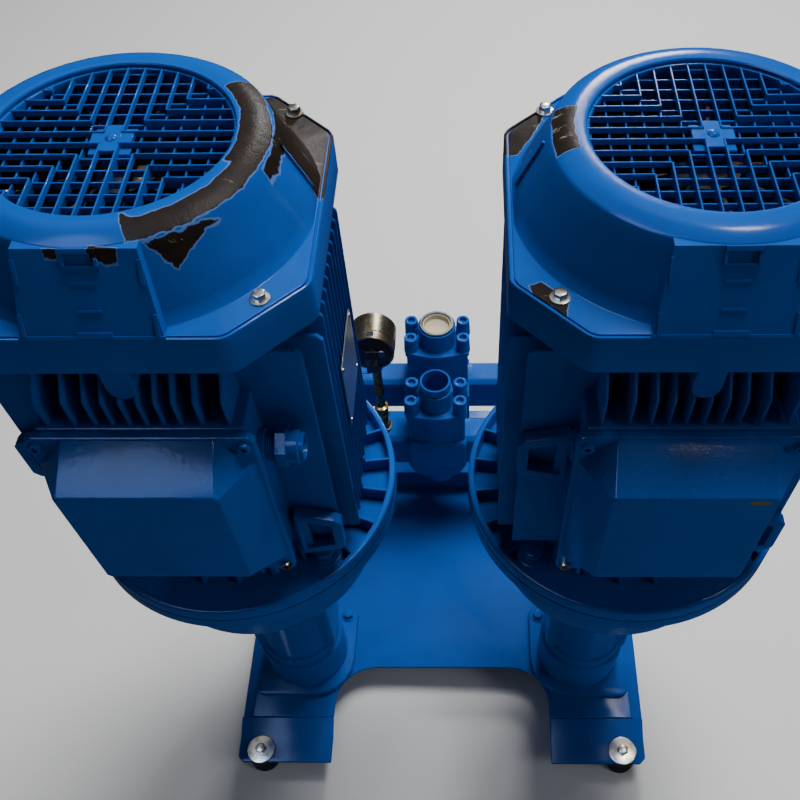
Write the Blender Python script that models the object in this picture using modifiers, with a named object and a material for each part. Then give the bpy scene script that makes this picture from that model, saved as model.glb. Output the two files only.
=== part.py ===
"""Duplex screw pump unit, as fixed plant: two vertical flange motors over bell housings and
vertical screw pumps, one folded sheet base on rubber mounts, and two port manifolds behind.

Metres, +Z up. The origin is on the floor under the middle of the unit, -Y is the front with the
terminal boxes, and +X is the right-hand pump.
"""
from math import asin, cos, pi, radians, sin, sqrt

import bmesh
import bpy
from mathutils import Matrix, Vector

GAP = 0.0003
MERGE = 0.00001

# Heights above the floor
SKIRT_LOW = 0.016
TAB_TOP = 0.036
DECK_TOP = 0.046
FOOT_PAD_TOP = 0.058
PUMP_RING = 0.121
BELL_FLOOR = 0.373
FLANGE_JOINT = 0.480
FLANGE_TOP = 0.496
FRAME_FLOOR = 0.516
SKIRT_FLOOR = 0.789
COVER_DECK = 0.820
COVER_TOP = 0.8735

# The two pump units
UNIT_X = 0.193
UNIT_Y = -0.150
FLANGE_R = 0.156
FLANGE_RIM = 0.007
BOLT_R = 0.1325
CORE_R = 0.105
FIN_TIP = 0.128
FIN_PITCH = 0.0127
FIN_ROOT_THICK = 0.0055
FIN_TIP_THICK = 0.0032
FIN_COUNT = 10
EYE_INNER = 0.079
EYE_OUTER = 0.1185
EYE_CORNER = 0.005
EYE_TAPER = 0.008
EYE_RIM = 0.009
EYE_FRONT = -0.105
EYE_BACK = -0.0943
COVER_HALF = 0.130
COVER_CHAMFER = 0.049
COVER_SHEET = 0.003
CONE_FOOT_R = 0.128
CONE_HEAD_R = 0.1035
GRILLE_R = 0.0805
GRILLE_SINK = 0.0115
GRILLE_THICK = 0.003
GRILLE_PITCH = 0.0235
WINDOW_HALF = 0.009
FAN_R = 0.094
SHAFT_R = 0.012
BELL_R = 0.125
PUMP_R = 0.050
PUMP_BASE_R = 0.0565
PUMP_FLAT = 0.0525
PORT_BOSS_Y = 0.0585
FOOT_PAD = 0.067
FOOT_BEND = 0.055

# Terminal box, from the motor's axis
BOX_HALF = 0.074
BOX_BACK = -0.0925
BOX_FRONT = -0.130
BOX_LOW = 0.548
BOX_HIGH = 0.732
LID_HALF = 0.081
LID_RIM = -0.143
LID_FRONT = -0.175
HOOD_FOOT = (0.072, 0.004, 0.019)
HOOD_FACE = (0.057, 0.020, 0.007)
HOOD_FACE_LOW = 0.601
GLAND_Y = -0.111
GLAND_Z = 0.688
GLAND_R = 0.0135

# Folded sheet base
SHEET = 0.004
DECK_HALF = 0.263
SKIRT_X = 0.281
SKIRT_FOLD = 0.018
DECK_FRONT = -0.246
DECK_REAR = 0.265
BAY_HALF = 0.150
BAY_BACK = -0.172
BAY_ROUND = 0.055
TAB_RAMP = 0.026
TAB_OUT = 0.060
TAB_SIDE = 0.278
TAB_CORNER = 0.009
SHELF_FRONT = 0.138
SHELF_TOP = 0.092
MOUNT_X = 0.2475
MOUNT_FRONT = -0.289
MOUNT_REAR = 0.305
MOUNT_R = 0.020

# Manifolds
DISCHARGE_Y = 0.125
SUCTION_Y = 0.233
PORT_X = -0.008
ARM_LOW = 0.1655
ARM_TOP = 0.2235
ARM_HALF = 0.022
WEDGE_LOW = 0.146
ARM_END = 0.217
PORT_TOP = 0.3245
DISCHARGE_Z = 0.5 * (ARM_LOW + ARM_TOP)
SUCTION_Z = 0.129
PIPE_R = 0.0225
GAUGE_X = -0.085
GAUGE_Z = 0.400
GAUGE_R = 0.029
GAUGE_HALF = 0.0225

parts = bpy.data.collections.new("duplex_pump_unit")
guides = bpy.data.collections.new("cutters")


def clear_scene():
    for obj in list(bpy.data.objects):
        bpy.data.objects.remove(obj)
    for collection in (parts, guides):
        bpy.context.scene.collection.children.link(collection)


def paint(name, colour, roughness, metallic):
    mat = bpy.data.materials.new(name)
    mat.use_nodes = True
    shader = mat.node_tree.nodes["Principled BSDF"]
    shader.inputs["Base Color"].default_value = (*colour, 1.0)
    shader.inputs["Roughness"].default_value = roughness
    shader.inputs["Metallic"].default_value = metallic
    return mat


def guide(name, data):
    """A new object, kept with the cutters until it is made a part."""
    obj = bpy.data.objects.new(name, data)
    guides.objects.link(obj)
    obj.hide_render = True
    obj.display_type = "WIRE"
    return obj


def make_part(obj, node, colour, roughness=0.4, metallic=0.0):
    """Give the object its node name and its own material, and list it as a part."""
    guides.objects.unlink(obj)
    parts.objects.link(obj)
    obj.name = node
    obj.hide_render = False
    obj.display_type = "TEXTURED"
    obj.data.materials.clear()
    obj.data.materials.append(paint(node, colour, roughness, metallic))
    return obj


def brick(low, high):
    bm = bmesh.new()
    bmesh.ops.create_cube(bm, size=1.0)
    size = [top - bottom for bottom, top in zip(low, high)]
    middle = [0.5 * (top + bottom) for bottom, top in zip(low, high)]
    bmesh.ops.scale(bm, vec=size, verts=bm.verts)
    bmesh.ops.translate(bm, vec=middle, verts=bm.verts)
    mesh = bpy.data.meshes.new("brick")
    bm.to_mesh(mesh)
    bm.free()
    return guide("brick", mesh)


def drum(start, end, radius, sides, end_radius=None, turn=0.0):
    """A cylinder or cone between two points."""
    start = Vector(start)
    end = Vector(end)
    along = end - start
    place = Matrix.Translation(0.5 * (start + end)) @ along.to_track_quat("Z", "Y").to_matrix().to_4x4()
    bm = bmesh.new()
    bmesh.ops.create_cone(bm, cap_ends=True, segments=sides, radius1=radius,
                          radius2=radius if end_radius is None else end_radius, depth=along.length,
                          matrix=place @ Matrix.Rotation(turn, 4, "Z"))
    mesh = bpy.data.meshes.new("drum")
    bm.to_mesh(mesh)
    bm.free()
    return guide("drum", mesh)


def turned(profile, sides, at=(0.0, 0.0), closed=False):
    """Radius and height pairs, down the outer side, turned round a vertical axis."""
    bm = bmesh.new()
    verts = [bm.verts.new((radius, 0.0, height)) for radius, height in profile]
    for first, second in zip(verts, verts[1:]):
        bm.edges.new((first, second))
    if closed:
        bm.edges.new((verts[-1], verts[0]))
    mesh = bpy.data.meshes.new("turned")
    bm.to_mesh(mesh)
    bm.free()
    obj = guide("turned", mesh)
    obj.location = (at[0], at[1], 0.0)
    screw = obj.modifiers.new("Screw", "SCREW")
    screw.angle = 2 * pi
    screw.steps = sides
    screw.render_steps = sides
    screw.use_merge_vertices = True
    screw.merge_threshold = MERGE
    screw.use_smooth_shade = False
    return obj


def plate(outlines, plane, low, high):
    """Flat outlines, the later ones as holes, extruded along the axis that the plane lacks."""
    curve = bpy.data.curves.new("plate", "CURVE")
    curve.dimensions = "2D"
    curve.fill_mode = "BOTH"
    curve.extrude = 0.5 * (high - low)
    for outline in outlines:
        spline = curve.splines.new("POLY")
        spline.points.add(len(outline) - 1)
        for point, (across, up) in zip(spline.points, outline):
            point.co = (across, up, 0.0, 1.0)
        spline.use_cyclic_u = True
    middle = 0.5 * (high + low)
    places = {
        "XY": Matrix.Translation((0.0, 0.0, middle)),
        "XZ": Matrix.Translation((0.0, middle, 0.0)) @ Matrix.Rotation(pi / 2, 4, "X"),
        "YZ": Matrix.Translation((middle, 0.0, 0.0))
        @ Matrix.Rotation(pi / 2, 4, "Z") @ Matrix.Rotation(pi / 2, 4, "X"),
    }
    flat = guide("flat", curve)
    bpy.context.view_layer.update()
    mesh = bpy.data.meshes.new_from_object(flat.evaluated_get(bpy.context.evaluated_depsgraph_get()))
    bpy.data.objects.remove(flat)
    bm = bmesh.new()
    bm.from_mesh(mesh)
    bmesh.ops.remove_doubles(bm, verts=bm.verts, dist=MERGE)
    if len(outlines) == 1:
        bmesh.ops.dissolve_limit(bm, angle_limit=0.001, verts=bm.verts, edges=bm.edges)
    bmesh.ops.recalc_face_normals(bm, faces=bm.faces)
    bm.transform(places[plane])
    bm.to_mesh(mesh)
    bm.free()
    return guide("plate", mesh)


def combine(obj, operation, others):
    for other in others:
        boolean = obj.modifiers.new(operation, "BOOLEAN")
        boolean.operation = operation
        boolean.solver = "EXACT"
        boolean.object = other
    return obj


def fuse(obj, *others):
    return combine(obj, "UNION", others)


def cut(obj, *others):
    return combine(obj, "DIFFERENCE", others)


def arc(centre, radius, start, end, steps):
    """Points on an arc, with its angles in degrees."""
    points = []
    for step in range(steps + 1):
        angle = radians(start + (end - start) * step / steps)
        points.append((centre[0] + radius * cos(angle), centre[1] + radius * sin(angle)))
    return points


def rounded(low, high, radius, steps=4):
    """A rectangle with round corners: one radius, or one for each from the upper right anticlockwise."""
    radii = radius if isinstance(radius, tuple) else (radius,) * 4
    points = []
    for quarter, bend in enumerate(radii):
        across = high[0] - bend if quarter in (0, 3) else low[0] + bend
        up = high[1] - bend if quarter in (0, 1) else low[1] + bend
        points += arc((across, up), bend, 90 * quarter, 90 * quarter + 90, steps)
    return points


def octagon(half, chamfer, at):
    """A square with cut corners, as the fan cover's deck has."""
    straight = half - chamfer
    points = []
    for quarter in range(4):
        turn = Matrix.Rotation(radians(90 * quarter), 2)
        for corner in ((half, straight), (straight, half)):
            spot = turn @ Vector(corner)
            points.append((at[0] + spot.x, at[1] + spot.y))
    return points


def finned_outline(at):
    """The stator's section: a round core with straight fins in four groups."""
    points = []
    for quarter in range(4):
        turn = Matrix.Rotation(radians(90 * quarter), 2)
        side = []
        for number in range(FIN_COUNT):
            middle = (number - 0.5 * (FIN_COUNT - 1)) * FIN_PITCH
            for edge, reach in ((-0.5, False), (-0.5, True), (0.5, True), (0.5, False)):
                across = middle + edge * (FIN_TIP_THICK if reach else FIN_ROOT_THICK)
                side.append((FIN_TIP if reach else sqrt(CORE_R ** 2 - across ** 2), across))
        last = asin(side[-1][1] / CORE_R)
        side += arc((0.0, 0.0), CORE_R, last * 180 / pi, 90 - last * 180 / pi, 3)[1:-1]
        for point in side:
            spot = turn @ Vector(point)
            points.append((at[0] + spot.x, at[1] + spot.y))
    return points


def spoke(at, angle, inner, outer, half_width, low, high):
    """A radial block at an angle in degrees, from the axis of a unit."""
    block = brick((inner, -half_width, low), (outer, half_width, high))
    block.data.transform(Matrix.Translation((at[0], at[1], 0.0)) @ Matrix.Rotation(radians(angle), 4, "Z"))
    return block


BLUE = (0.003, 0.09, 0.37)
DARK_BLUE = (0.002, 0.03, 0.12)
STEEL = (0.55, 0.55, 0.53)
BRASS = (0.62, 0.47, 0.22)
RUBBER = (0.02, 0.02, 0.02)


def lifting_eye(node, at, side, low, high):
    """A ring that narrows outwards, its root against the core, on the left (-1) or right (1)."""
    inner = at[0] + side * EYE_INNER
    outer = at[0] + side * EYE_OUTER
    corner = outer - side * EYE_CORNER
    ring = [(inner, high), (inner, low), (corner, low + EYE_TAPER), (outer, low + EYE_TAPER + EYE_CORNER),
            (outer, high - EYE_TAPER - EYE_CORNER), (corner, high - EYE_TAPER)]
    root = inner + side * 0.004
    end = outer - side * EYE_RIM
    hole = [(root, low + EYE_RIM), (end, low + EYE_RIM + EYE_TAPER), (end, high - EYE_RIM - EYE_TAPER),
            (root, high - EYE_RIM)]
    eye = plate([ring, hole], "XZ", at[1] + EYE_FRONT, at[1] + EYE_BACK)
    root_left, root_right = sorted((at[0] + side * 0.0765, at[0] + side * 0.088))
    fuse(eye, brick((root_left, at[1] + EYE_FRONT + 0.004, low + EYE_RIM),
                    (root_right, at[1] - 0.0615, high - EYE_RIM)))
    cut(eye, drum((*at, low), (*at, high), CORE_R + GAP, 96))
    return make_part(eye, node, BLUE, 0.35)


def motor_frame(name, at):
    frame = plate([finned_outline(at)], "XY", FRAME_FLOOR + GAP, SKIRT_FLOOR - GAP)
    lugs = [spoke(at, angle, 0.100, 0.1435, 0.010, SKIRT_FLOOR - 0.004, COVER_DECK - COVER_SHEET - GAP)
            for angle in (45, 135, 225, 315)]
    boss_z = SKIRT_FLOOR - 0.0145
    boss = drum((at[0], at[1] - 0.100, boss_z), (at[0], at[1] - 0.127, boss_z), 0.0135, 16)
    seat = brick((at[0] - BOX_HALF - GAP, at[1] - 0.140, BOX_LOW - GAP),
                 (at[0] + BOX_HALF + GAP, at[1] + BOX_BACK + GAP, BOX_HIGH + GAP))
    bore = drum((*at, SKIRT_FLOOR - 0.020), (*at, SKIRT_FLOOR + 0.001), SHAFT_R + 0.0007, 24)
    cut(frame, seat, bore)
    fuse(frame, boss, *lugs)
    make_part(frame, "motor_frame_" + name, BLUE, 0.3)
    lifting_eye("lifting_eye_upper_" + name, at, -1, 0.632, 0.692)
    return lifting_eye("lifting_eye_lower_" + name, at, 1, 0.516, 0.580)


def motor_flange(name, at):
    pocket = FLANGE_TOP - 0.006
    rim = FLANGE_R - FLANGE_RIM
    profile = [(0.0, FRAME_FLOOR), (0.112, FRAME_FLOOR), (0.117, FRAME_FLOOR - 0.004), (0.124, pocket),
               (rim - 0.002, pocket), (rim, FLANGE_TOP), (FLANGE_R, FLANGE_TOP), (FLANGE_R, FLANGE_JOINT),
               (0.0, FLANGE_JOINT)]
    flange = turned(profile, 40, at)
    seats = []
    for angle in (45, 135, 225, 315):
        spot = (at[0] + BOLT_R * cos(radians(angle)), at[1] + BOLT_R * sin(radians(angle)))
        seats.append(drum((*spot, pocket - 0.004), (*spot, FLANGE_TOP + 0.0005), 0.0145, 14))
    fuse(flange, *seats)
    return make_part(flange, "motor_flange_" + name, BLUE, 0.35)


def fan_cover(name, at):
    inner_half = COVER_HALF - COVER_SHEET
    deck = plate([octagon(COVER_HALF, COVER_CHAMFER, at)], "XY", SKIRT_FLOOR, COVER_DECK)
    room = plate([octagon(inner_half, COVER_CHAMFER - 0.0018, at)], "XY",
                 SKIRT_FLOOR - 0.002, COVER_DECK - COVER_SHEET)
    mouth = drum((*at, SKIRT_FLOOR), (*at, COVER_TOP), CONE_FOOT_R - 0.006, 32)
    wall = 0.0038
    floor = COVER_TOP - GRILLE_SINK
    shell = turned([(0.089, COVER_TOP), (0.0965, COVER_TOP - 0.0017), (CONE_HEAD_R, COVER_TOP - 0.006),
                    (CONE_FOOT_R, COVER_DECK - 0.001), (CONE_FOOT_R - 0.008, COVER_DECK - 0.001),
                    (CONE_HEAD_R - 0.005, COVER_TOP - 0.009), (0.094, COVER_TOP - wall - 0.0015),
                    (0.088, COVER_TOP - wall), (GRILLE_R + wall, COVER_TOP - wall),
                    (GRILLE_R + wall, floor), (GRILLE_R, floor), (GRILLE_R, COVER_TOP)], 40, at, closed=True)
    cut(deck, room, mouth)
    fuse(deck, shell)
    return make_part(deck, "fan_cover_" + name, BLUE, 0.25)


def fan_grille(name, at):
    """A disc with square windows: the finer bars are a matter of looks."""
    pitch = GRILLE_PITCH
    half = WINDOW_HALF
    radius = GRILLE_R - GAP
    floor = COVER_TOP - GRILLE_SINK
    outlines = [[(at[0] + x, at[1] + y) for x, y in arc((0.0, 0.0), radius, 0, 360 - 11.25, 31)]]
    for row in range(-3, 4):
        for column in range(-3, 4):
            corner = sqrt((abs(row) * pitch + half) ** 2 + (abs(column) * pitch + half) ** 2)
            if corner < radius - 0.003:
                x = at[0] + column * pitch
                y = at[1] + row * pitch
                outlines.append([(x - half, y - half), (x - half, y + half),
                                 (x + half, y + half), (x + half, y - half)])
    grille = plate(outlines, "XY", floor, floor + GRILLE_THICK)
    return make_part(grille, "fan_grille_" + name, BLUE, 0.3)


def cooling_fan(name, at):
    """Turns with the motor shaft, whose end it carries down into the frame's bore."""
    disc = SKIRT_FLOOR + 0.018
    fan = turned([(0.0, disc + 0.045), (0.014, disc + 0.045), (0.024, disc + 0.039), (0.026, disc + 0.003),
                  (FAN_R, disc + 0.003), (FAN_R, disc), (0.024, disc), (0.020, disc - 0.011),
                  (SHAFT_R, disc - 0.011), (SHAFT_R, SKIRT_FLOOR - 0.018), (0.0, SKIRT_FLOOR - 0.018)],
                 24, (0.0, 0.0))
    blades = [spoke((0.0, 0.0), 40 * number, 0.020, FAN_R, 0.0012, disc + 0.001, disc + 0.041)
              for number in range(9)]
    fuse(fan, *blades)
    axis = bpy.data.objects.new("fan_axis_" + name, None)
    parts.objects.link(axis)
    axis.location = (*at, 0.0)
    for obj in (fan, *blades):
        obj.parent = axis
    return make_part(fan, "cooling_fan_" + name, DARK_BLUE, 0.5)


def terminal_box(name, at):
    box = brick((at[0] - BOX_HALF, at[1] + BOX_FRONT, BOX_LOW), (at[0] + BOX_HALF, at[1] + BOX_BACK, BOX_HIGH))
    make_part(box, "terminal_box_" + name, BLUE, 0.3)
    lid = brick((at[0] - LID_HALF, at[1] + LID_RIM, BOX_LOW),
                (at[0] + LID_HALF, at[1] + BOX_FRONT - GAP, BOX_HIGH))
    fuse(lid, hood(at))
    return make_part(lid, "terminal_lid_" + name, BLUE, 0.25)


def hood(at):
    """The lid's raised middle, with sloping sides and a facet at each corner."""
    bm = bmesh.new()
    for y, (half, drop, facet), low in ((LID_RIM + 0.002, HOOD_FOOT, BOX_LOW + HOOD_FOOT[1]),
                                        (LID_FRONT, HOOD_FACE, HOOD_FACE_LOW)):
        high = BOX_HIGH - drop
        for x, z in ((half - facet, high), (half, high - facet), (half, low + facet), (half - facet, low)):
            bm.verts.new((at[0] + x, at[1] + y, z))
            bm.verts.new((at[0] - x, at[1] + y, z))
    bmesh.ops.convex_hull(bm, input=bm.verts)
    bmesh.ops.dissolve_limit(bm, angle_limit=0.001, verts=bm.verts, edges=bm.edges)
    mesh = bpy.data.meshes.new("hood")
    bm.to_mesh(mesh)
    bm.free()
    return guide("hood", mesh)


def cable_gland(name, at):
    """Collar, thread, hexagon and neck round an open bore, on the box's right side."""
    start = at[0] + BOX_HALF + GAP
    here = (at[1] + GLAND_Y, GLAND_Z)
    gland = drum((start, *here), (start + 0.005, *here), GLAND_R + 0.0005, 20)
    thread = drum((start + 0.004, *here), (start + 0.0135, *here), GLAND_R - 0.0015, 20)
    nut = drum((start + 0.0125, *here), (start + 0.0215, *here), GLAND_R + 0.002, 6)
    neck = drum((start + 0.0205, *here), (start + 0.030, *here), GLAND_R, 20)
    ring = drum((start + 0.029, *here), (start + 0.0335, *here), GLAND_R - 0.002, 20)
    fuse(gland, thread, nut, neck, ring)
    cut(gland, drum((start + 0.012, *here), (start + 0.060, *here), 0.0085, 16))
    return make_part(gland, "cable_gland_" + name, BLUE, 0.3)


def nameplate(name, at):
    plate_x = at[0] + FIN_TIP + GAP
    return make_part(plate([rounded((at[1] - 0.036, 0.616), (at[1] + 0.036, 0.688), 0.004, 2)],
                           "YZ", plate_x, plate_x + 0.001), "nameplate_" + name, STEEL, 0.35, 1.0)


def bell_housing(name, at):
    top = FLANGE_JOINT - GAP
    profile = [(0.0, top), (FLANGE_R, top), (FLANGE_R, top - 0.016), (0.130, top - 0.018), (BELL_R, top - 0.034),
               (BELL_R, BELL_FLOOR + 0.010), (0.115, BELL_FLOOR), (0.0, BELL_FLOOR)]
    return make_part(turned(profile, 32, at), "bell_housing_" + name, BLUE, 0.35)


def pump_body(name, at):
    top = BELL_FLOOR - GAP
    foot = FOOT_PAD_TOP + GAP
    body = turned([(0.0, top), (PUMP_R + 0.004, top), (PUMP_R + 0.004, top - 0.014), (PUMP_R, top - 0.016),
                   (PUMP_R - 0.002, PUMP_RING + 0.020), (PUMP_R + 0.002, PUMP_RING + 0.018),
                   (PUMP_R + 0.002, PUMP_RING + 0.004), (PUMP_BASE_R, PUMP_RING),
                   (PUMP_BASE_R, foot), (0.0, foot)], 28, at)
    rear = at[1] + PORT_BOSS_Y
    high_boss = drum((at[0], at[1], DISCHARGE_Z), (at[0], rear, DISCHARGE_Z), 0.031, 20)
    low_boss = drum((at[0], at[1], SUCTION_Z), (at[0], rear, SUCTION_Z), 0.029, 20)
    pads = brick((at[0] - PUMP_FLAT, at[1] - 0.030, PUMP_RING + 0.020),
                 (at[0] + PUMP_FLAT, at[1] + 0.030, top - 0.012))
    fuse(body, high_boss, low_boss, pads)
    make_part(body, "pump_body_" + name, BLUE, 0.35)
    bends = (0.012, 0.012, 0.012, FOOT_BEND) if name == "left" else (0.012, 0.012, FOOT_BEND, 0.012)
    pad = plate([rounded((at[0] - FOOT_PAD, at[1] - FOOT_PAD), (at[0] + FOOT_PAD, at[1] + FOOT_PAD), bends, 5)],
                "XY", DECK_TOP + GAP, FOOT_PAD_TOP)
    return make_part(pad, "pump_foot_" + name, BLUE, 0.35)


def pipes(name, at):
    """The hidden runs from the manifold arms forward to the pump's two ports."""
    pump = at[1] + PORT_BOSS_Y + GAP
    arm = DISCHARGE_Y - ARM_HALF - GAP
    high = drum((at[0], pump, DISCHARGE_Z), (at[0], arm, DISCHARGE_Z), PIPE_R, 20)
    fuse(high, drum((at[0], pump, DISCHARGE_Z), (at[0], pump + 0.012, DISCHARGE_Z), 0.031, 20),
         drum((at[0], arm - 0.012, DISCHARGE_Z), (at[0], arm, DISCHARGE_Z), 0.028, 20))
    make_part(high, "discharge_pipe_" + name, BLUE, 0.35)
    low = drum((at[0], pump, SUCTION_Z), (at[0], SUCTION_Y + 0.020, SUCTION_Z), PIPE_R, 20)
    fuse(low, drum((at[0], pump, SUCTION_Z), (at[0], pump + 0.012, SUCTION_Z), 0.029, 20),
         drum((at[0], SUCTION_Y, SUCTION_Z - 0.010), (at[0], SUCTION_Y, ARM_LOW - GAP), 0.0215, 20))
    return make_part(low, "suction_pipe_" + name, BLUE, 0.35)


def mount_points():
    """Name, x, y, side and direction out of the base for each rubber mount."""
    for end, y, out in (("front", MOUNT_FRONT, -1), ("rear", MOUNT_REAR, 1)):
        for name, side in (("left", -1), ("right", 1)):
            yield end + "_" + name, side * MOUNT_X, y, side, out


def base():
    """The deck with its folded sides, the four joggled feet and the raised rear shelf."""
    fold = SHEET * 0.4142
    section = [(-SKIRT_X, SKIRT_LOW), (-SKIRT_X + SHEET, SKIRT_LOW),
               (-SKIRT_X + SHEET, DECK_TOP - SKIRT_FOLD - fold), (-DECK_HALF + fold, DECK_TOP - SHEET),
               (DECK_HALF - fold, DECK_TOP - SHEET), (SKIRT_X - SHEET, DECK_TOP - SKIRT_FOLD - fold),
               (SKIRT_X - SHEET, SKIRT_LOW), (SKIRT_X, SKIRT_LOW),
               (SKIRT_X, DECK_TOP - SKIRT_FOLD), (DECK_HALF, DECK_TOP),
               (-DECK_HALF, DECK_TOP), (-SKIRT_X, DECK_TOP - SKIRT_FOLD)]
    deck = plate([section], "XZ", DECK_FRONT, DECK_REAR)
    bay = rounded((-BAY_HALF, DECK_FRONT - 0.060), (BAY_HALF, BAY_BACK), BAY_ROUND, 5)
    cut(deck, plate([bay], "XY", DECK_TOP - 0.010, DECK_TOP + 0.010))
    make_part(deck, "base_deck", BLUE, 0.35)
    for place, x, y, side, out in mount_points():
        foot_and_mount(place, x, y, side, out)
    floor = DECK_TOP + GAP
    hat = [(SHELF_FRONT, floor), (SHELF_FRONT + SHEET, floor), (SHELF_FRONT + SHEET, SHELF_TOP - SHEET),
           (DECK_REAR - SHEET, SHELF_TOP - SHEET), (DECK_REAR - SHEET, floor), (DECK_REAR, floor),
           (DECK_REAR, SHELF_TOP), (SHELF_FRONT, SHELF_TOP)]
    make_part(plate([hat], "YZ", -DECK_HALF, DECK_HALF), "rear_shelf", BLUE, 0.35)


def foot_and_mount(place, x, y, side, out):
    """A tab that steps down from the deck's end, with its outer corner cut, on a rubber mount."""
    start = (DECK_FRONT if out < 0 else DECK_REAR) + out * GAP
    bend = start + out * TAB_RAMP
    end = start + out * TAB_OUT
    joggle = [(start, DECK_TOP), (bend, TAB_TOP), (end, TAB_TOP), (end, TAB_TOP - SHEET),
              (bend, TAB_TOP - SHEET), (start, DECK_TOP - SHEET)]
    foot = plate([joggle], "YZ", *sorted((side * BAY_HALF, side * TAB_SIDE)))
    corner = [(side * (TAB_SIDE + 0.001), end + out * 0.001), (side * (TAB_SIDE - TAB_CORNER), end + out * 0.001),
              (side * (TAB_SIDE + 0.001), end - out * TAB_CORNER)]
    cut(foot, plate([corner], "XY", TAB_TOP - 0.010, TAB_TOP + 0.010))
    make_part(foot, "foot_" + place, BLUE, 0.35)
    top = TAB_TOP - SHEET - GAP
    mount = turned([(0.0, top), (MOUNT_R, top), (MOUNT_R, top - 0.006), (MOUNT_R - 0.003, 0.5 * top),
                    (MOUNT_R, 0.006), (MOUNT_R, 0.0), (0.0, 0.0)], 20, (x, y))
    return make_part(mount, "rubber_mount_" + place, RUBBER, 0.8)


def manifold(kind, y, half_x, half_y, top, port_r, bore_r):
    """A block with two arms at pump level and a port tube standing on it."""
    left = PORT_X - half_x
    right = PORT_X + half_x
    block = brick((left, y - half_y, ARM_LOW), (right, y + half_y, top))
    arms = brick((-ARM_END, y - ARM_HALF, ARM_LOW + 0.0001), (ARM_END, y + ARM_HALF, ARM_TOP))
    fuse(block, arms)
    if kind == "discharge":
        wedge = plate([[(left, ARM_LOW + 0.004), (left + 0.016, WEDGE_LOW), (right - 0.016, WEDGE_LOW),
                        (right, ARM_LOW + 0.004)]], "XZ", y - half_y, y + half_y)
        fuse(block, wedge, drum((PORT_X, y, WEDGE_LOW - 0.030), (PORT_X, y, WEDGE_LOW + 0.010), 0.0245, 20))
    else:
        fuse(block, brick((left, y - half_y - 0.012, ARM_LOW + 0.0002), (right, y, ARM_TOP - 0.0002)))
    bore = drum((PORT_X, y, top - 0.045), (PORT_X, y, top + 0.010), bore_r, 24)
    cut(block, bore)
    make_part(block, kind + "_manifold", BLUE, 0.3)
    foot = top + GAP
    tube = turned([(port_r, PORT_TOP), (port_r, foot), (bore_r, foot), (bore_r, PORT_TOP)], 28,
                  (PORT_X, y), closed=True)
    make_part(tube, kind + "_port", BLUE, 0.3)
    if kind == "suction":
        cap = drum((PORT_X, y, PORT_TOP - 0.014), (PORT_X, y, PORT_TOP - 0.010), bore_r - GAP, 24)
        make_part(cap, "suction_cap", (0.62, 0.55, 0.42), 0.6)


def gauge():
    """Pressure gauge over the discharge arm, its back towards the front, on a brass stem."""
    case = drum((GAUGE_X, DISCHARGE_Y - GAUGE_HALF, GAUGE_Z), (GAUGE_X, DISCHARGE_Y + GAUGE_HALF, GAUGE_Z),
                GAUGE_R, 28)
    socket = brick((GAUGE_X - 0.008, DISCHARGE_Y - 0.008, GAUGE_Z - GAUGE_R - 0.004),
                   (GAUGE_X + 0.008, DISCHARGE_Y + 0.008, GAUGE_Z))
    fuse(case, socket)
    make_part(case, "gauge_case", (0.5, 0.45, 0.38), 0.35, 1.0)
    foot = ARM_TOP + GAP
    head = GAUGE_Z - GAUGE_R - 0.004 - GAP
    stem = turned([(0.0, head), (0.0085, head), (0.0085, head - 0.016), (0.006, head - 0.018),
                   (0.006, foot + 0.052), (0.0095, foot + 0.050), (0.0095, foot + 0.030), (0.0075, foot + 0.028),
                   (0.0075, foot + 0.016), (0.0110, foot + 0.014), (0.0110, foot), (0.0, foot)], 16,
                  (GAUGE_X, DISCHARGE_Y))
    make_part(stem, "gauge_stem", BRASS, 0.35, 1.0)


def main():
    clear_scene()
    for name, side in (("left", -1), ("right", 1)):
        at = (side * UNIT_X, UNIT_Y)
        motor_frame(name, at)
        motor_flange(name, at)
        fan_cover(name, at)
        fan_grille(name, at)
        cooling_fan(name, at)
        terminal_box(name, at)
        cable_gland(name, at)
        nameplate(name, at)
        bell_housing(name, at)
        pump_body(name, at)
        pipes(name, at)
    base()
    manifold("discharge", DISCHARGE_Y, 0.042, 0.032, 0.276, 0.021, 0.0178)
    manifold("suction", SUCTION_Y, 0.0475, 0.036, 0.2875, 0.0245, 0.0205)
    gauge()


main()
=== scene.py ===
"""Dresses the frame of a duplex screw pump unit: two flange motors over bell housings and
vertical screw pumps, on one folded sheet base, with two port manifolds behind.

Run it in Blender 4.5. Metres, +Z up. -Y is the front, and +X is the right-hand pump.
"""

from math import atan2, cos, hypot, pi, radians, sin, sqrt

import bmesh
import bpy
from mathutils import Matrix, Vector


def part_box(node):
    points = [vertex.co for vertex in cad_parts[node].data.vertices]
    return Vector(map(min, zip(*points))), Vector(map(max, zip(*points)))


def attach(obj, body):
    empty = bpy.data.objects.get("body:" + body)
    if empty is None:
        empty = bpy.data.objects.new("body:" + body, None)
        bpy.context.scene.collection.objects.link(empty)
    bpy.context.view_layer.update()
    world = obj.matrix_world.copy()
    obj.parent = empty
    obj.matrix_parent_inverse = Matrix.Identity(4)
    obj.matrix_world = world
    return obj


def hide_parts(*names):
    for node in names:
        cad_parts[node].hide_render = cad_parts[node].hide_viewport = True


bl_info = {
    "name": "Duplex screw pump unit",
    "version": (1, 0, 0),
    "blender": (4, 5, 0),
    "location": "View3D > Sidebar > Pump unit",
    "description": "Castings, sheet metal, fasteners and paint over the frame of a duplex screw pump unit",
    "category": "Object",
}

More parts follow.
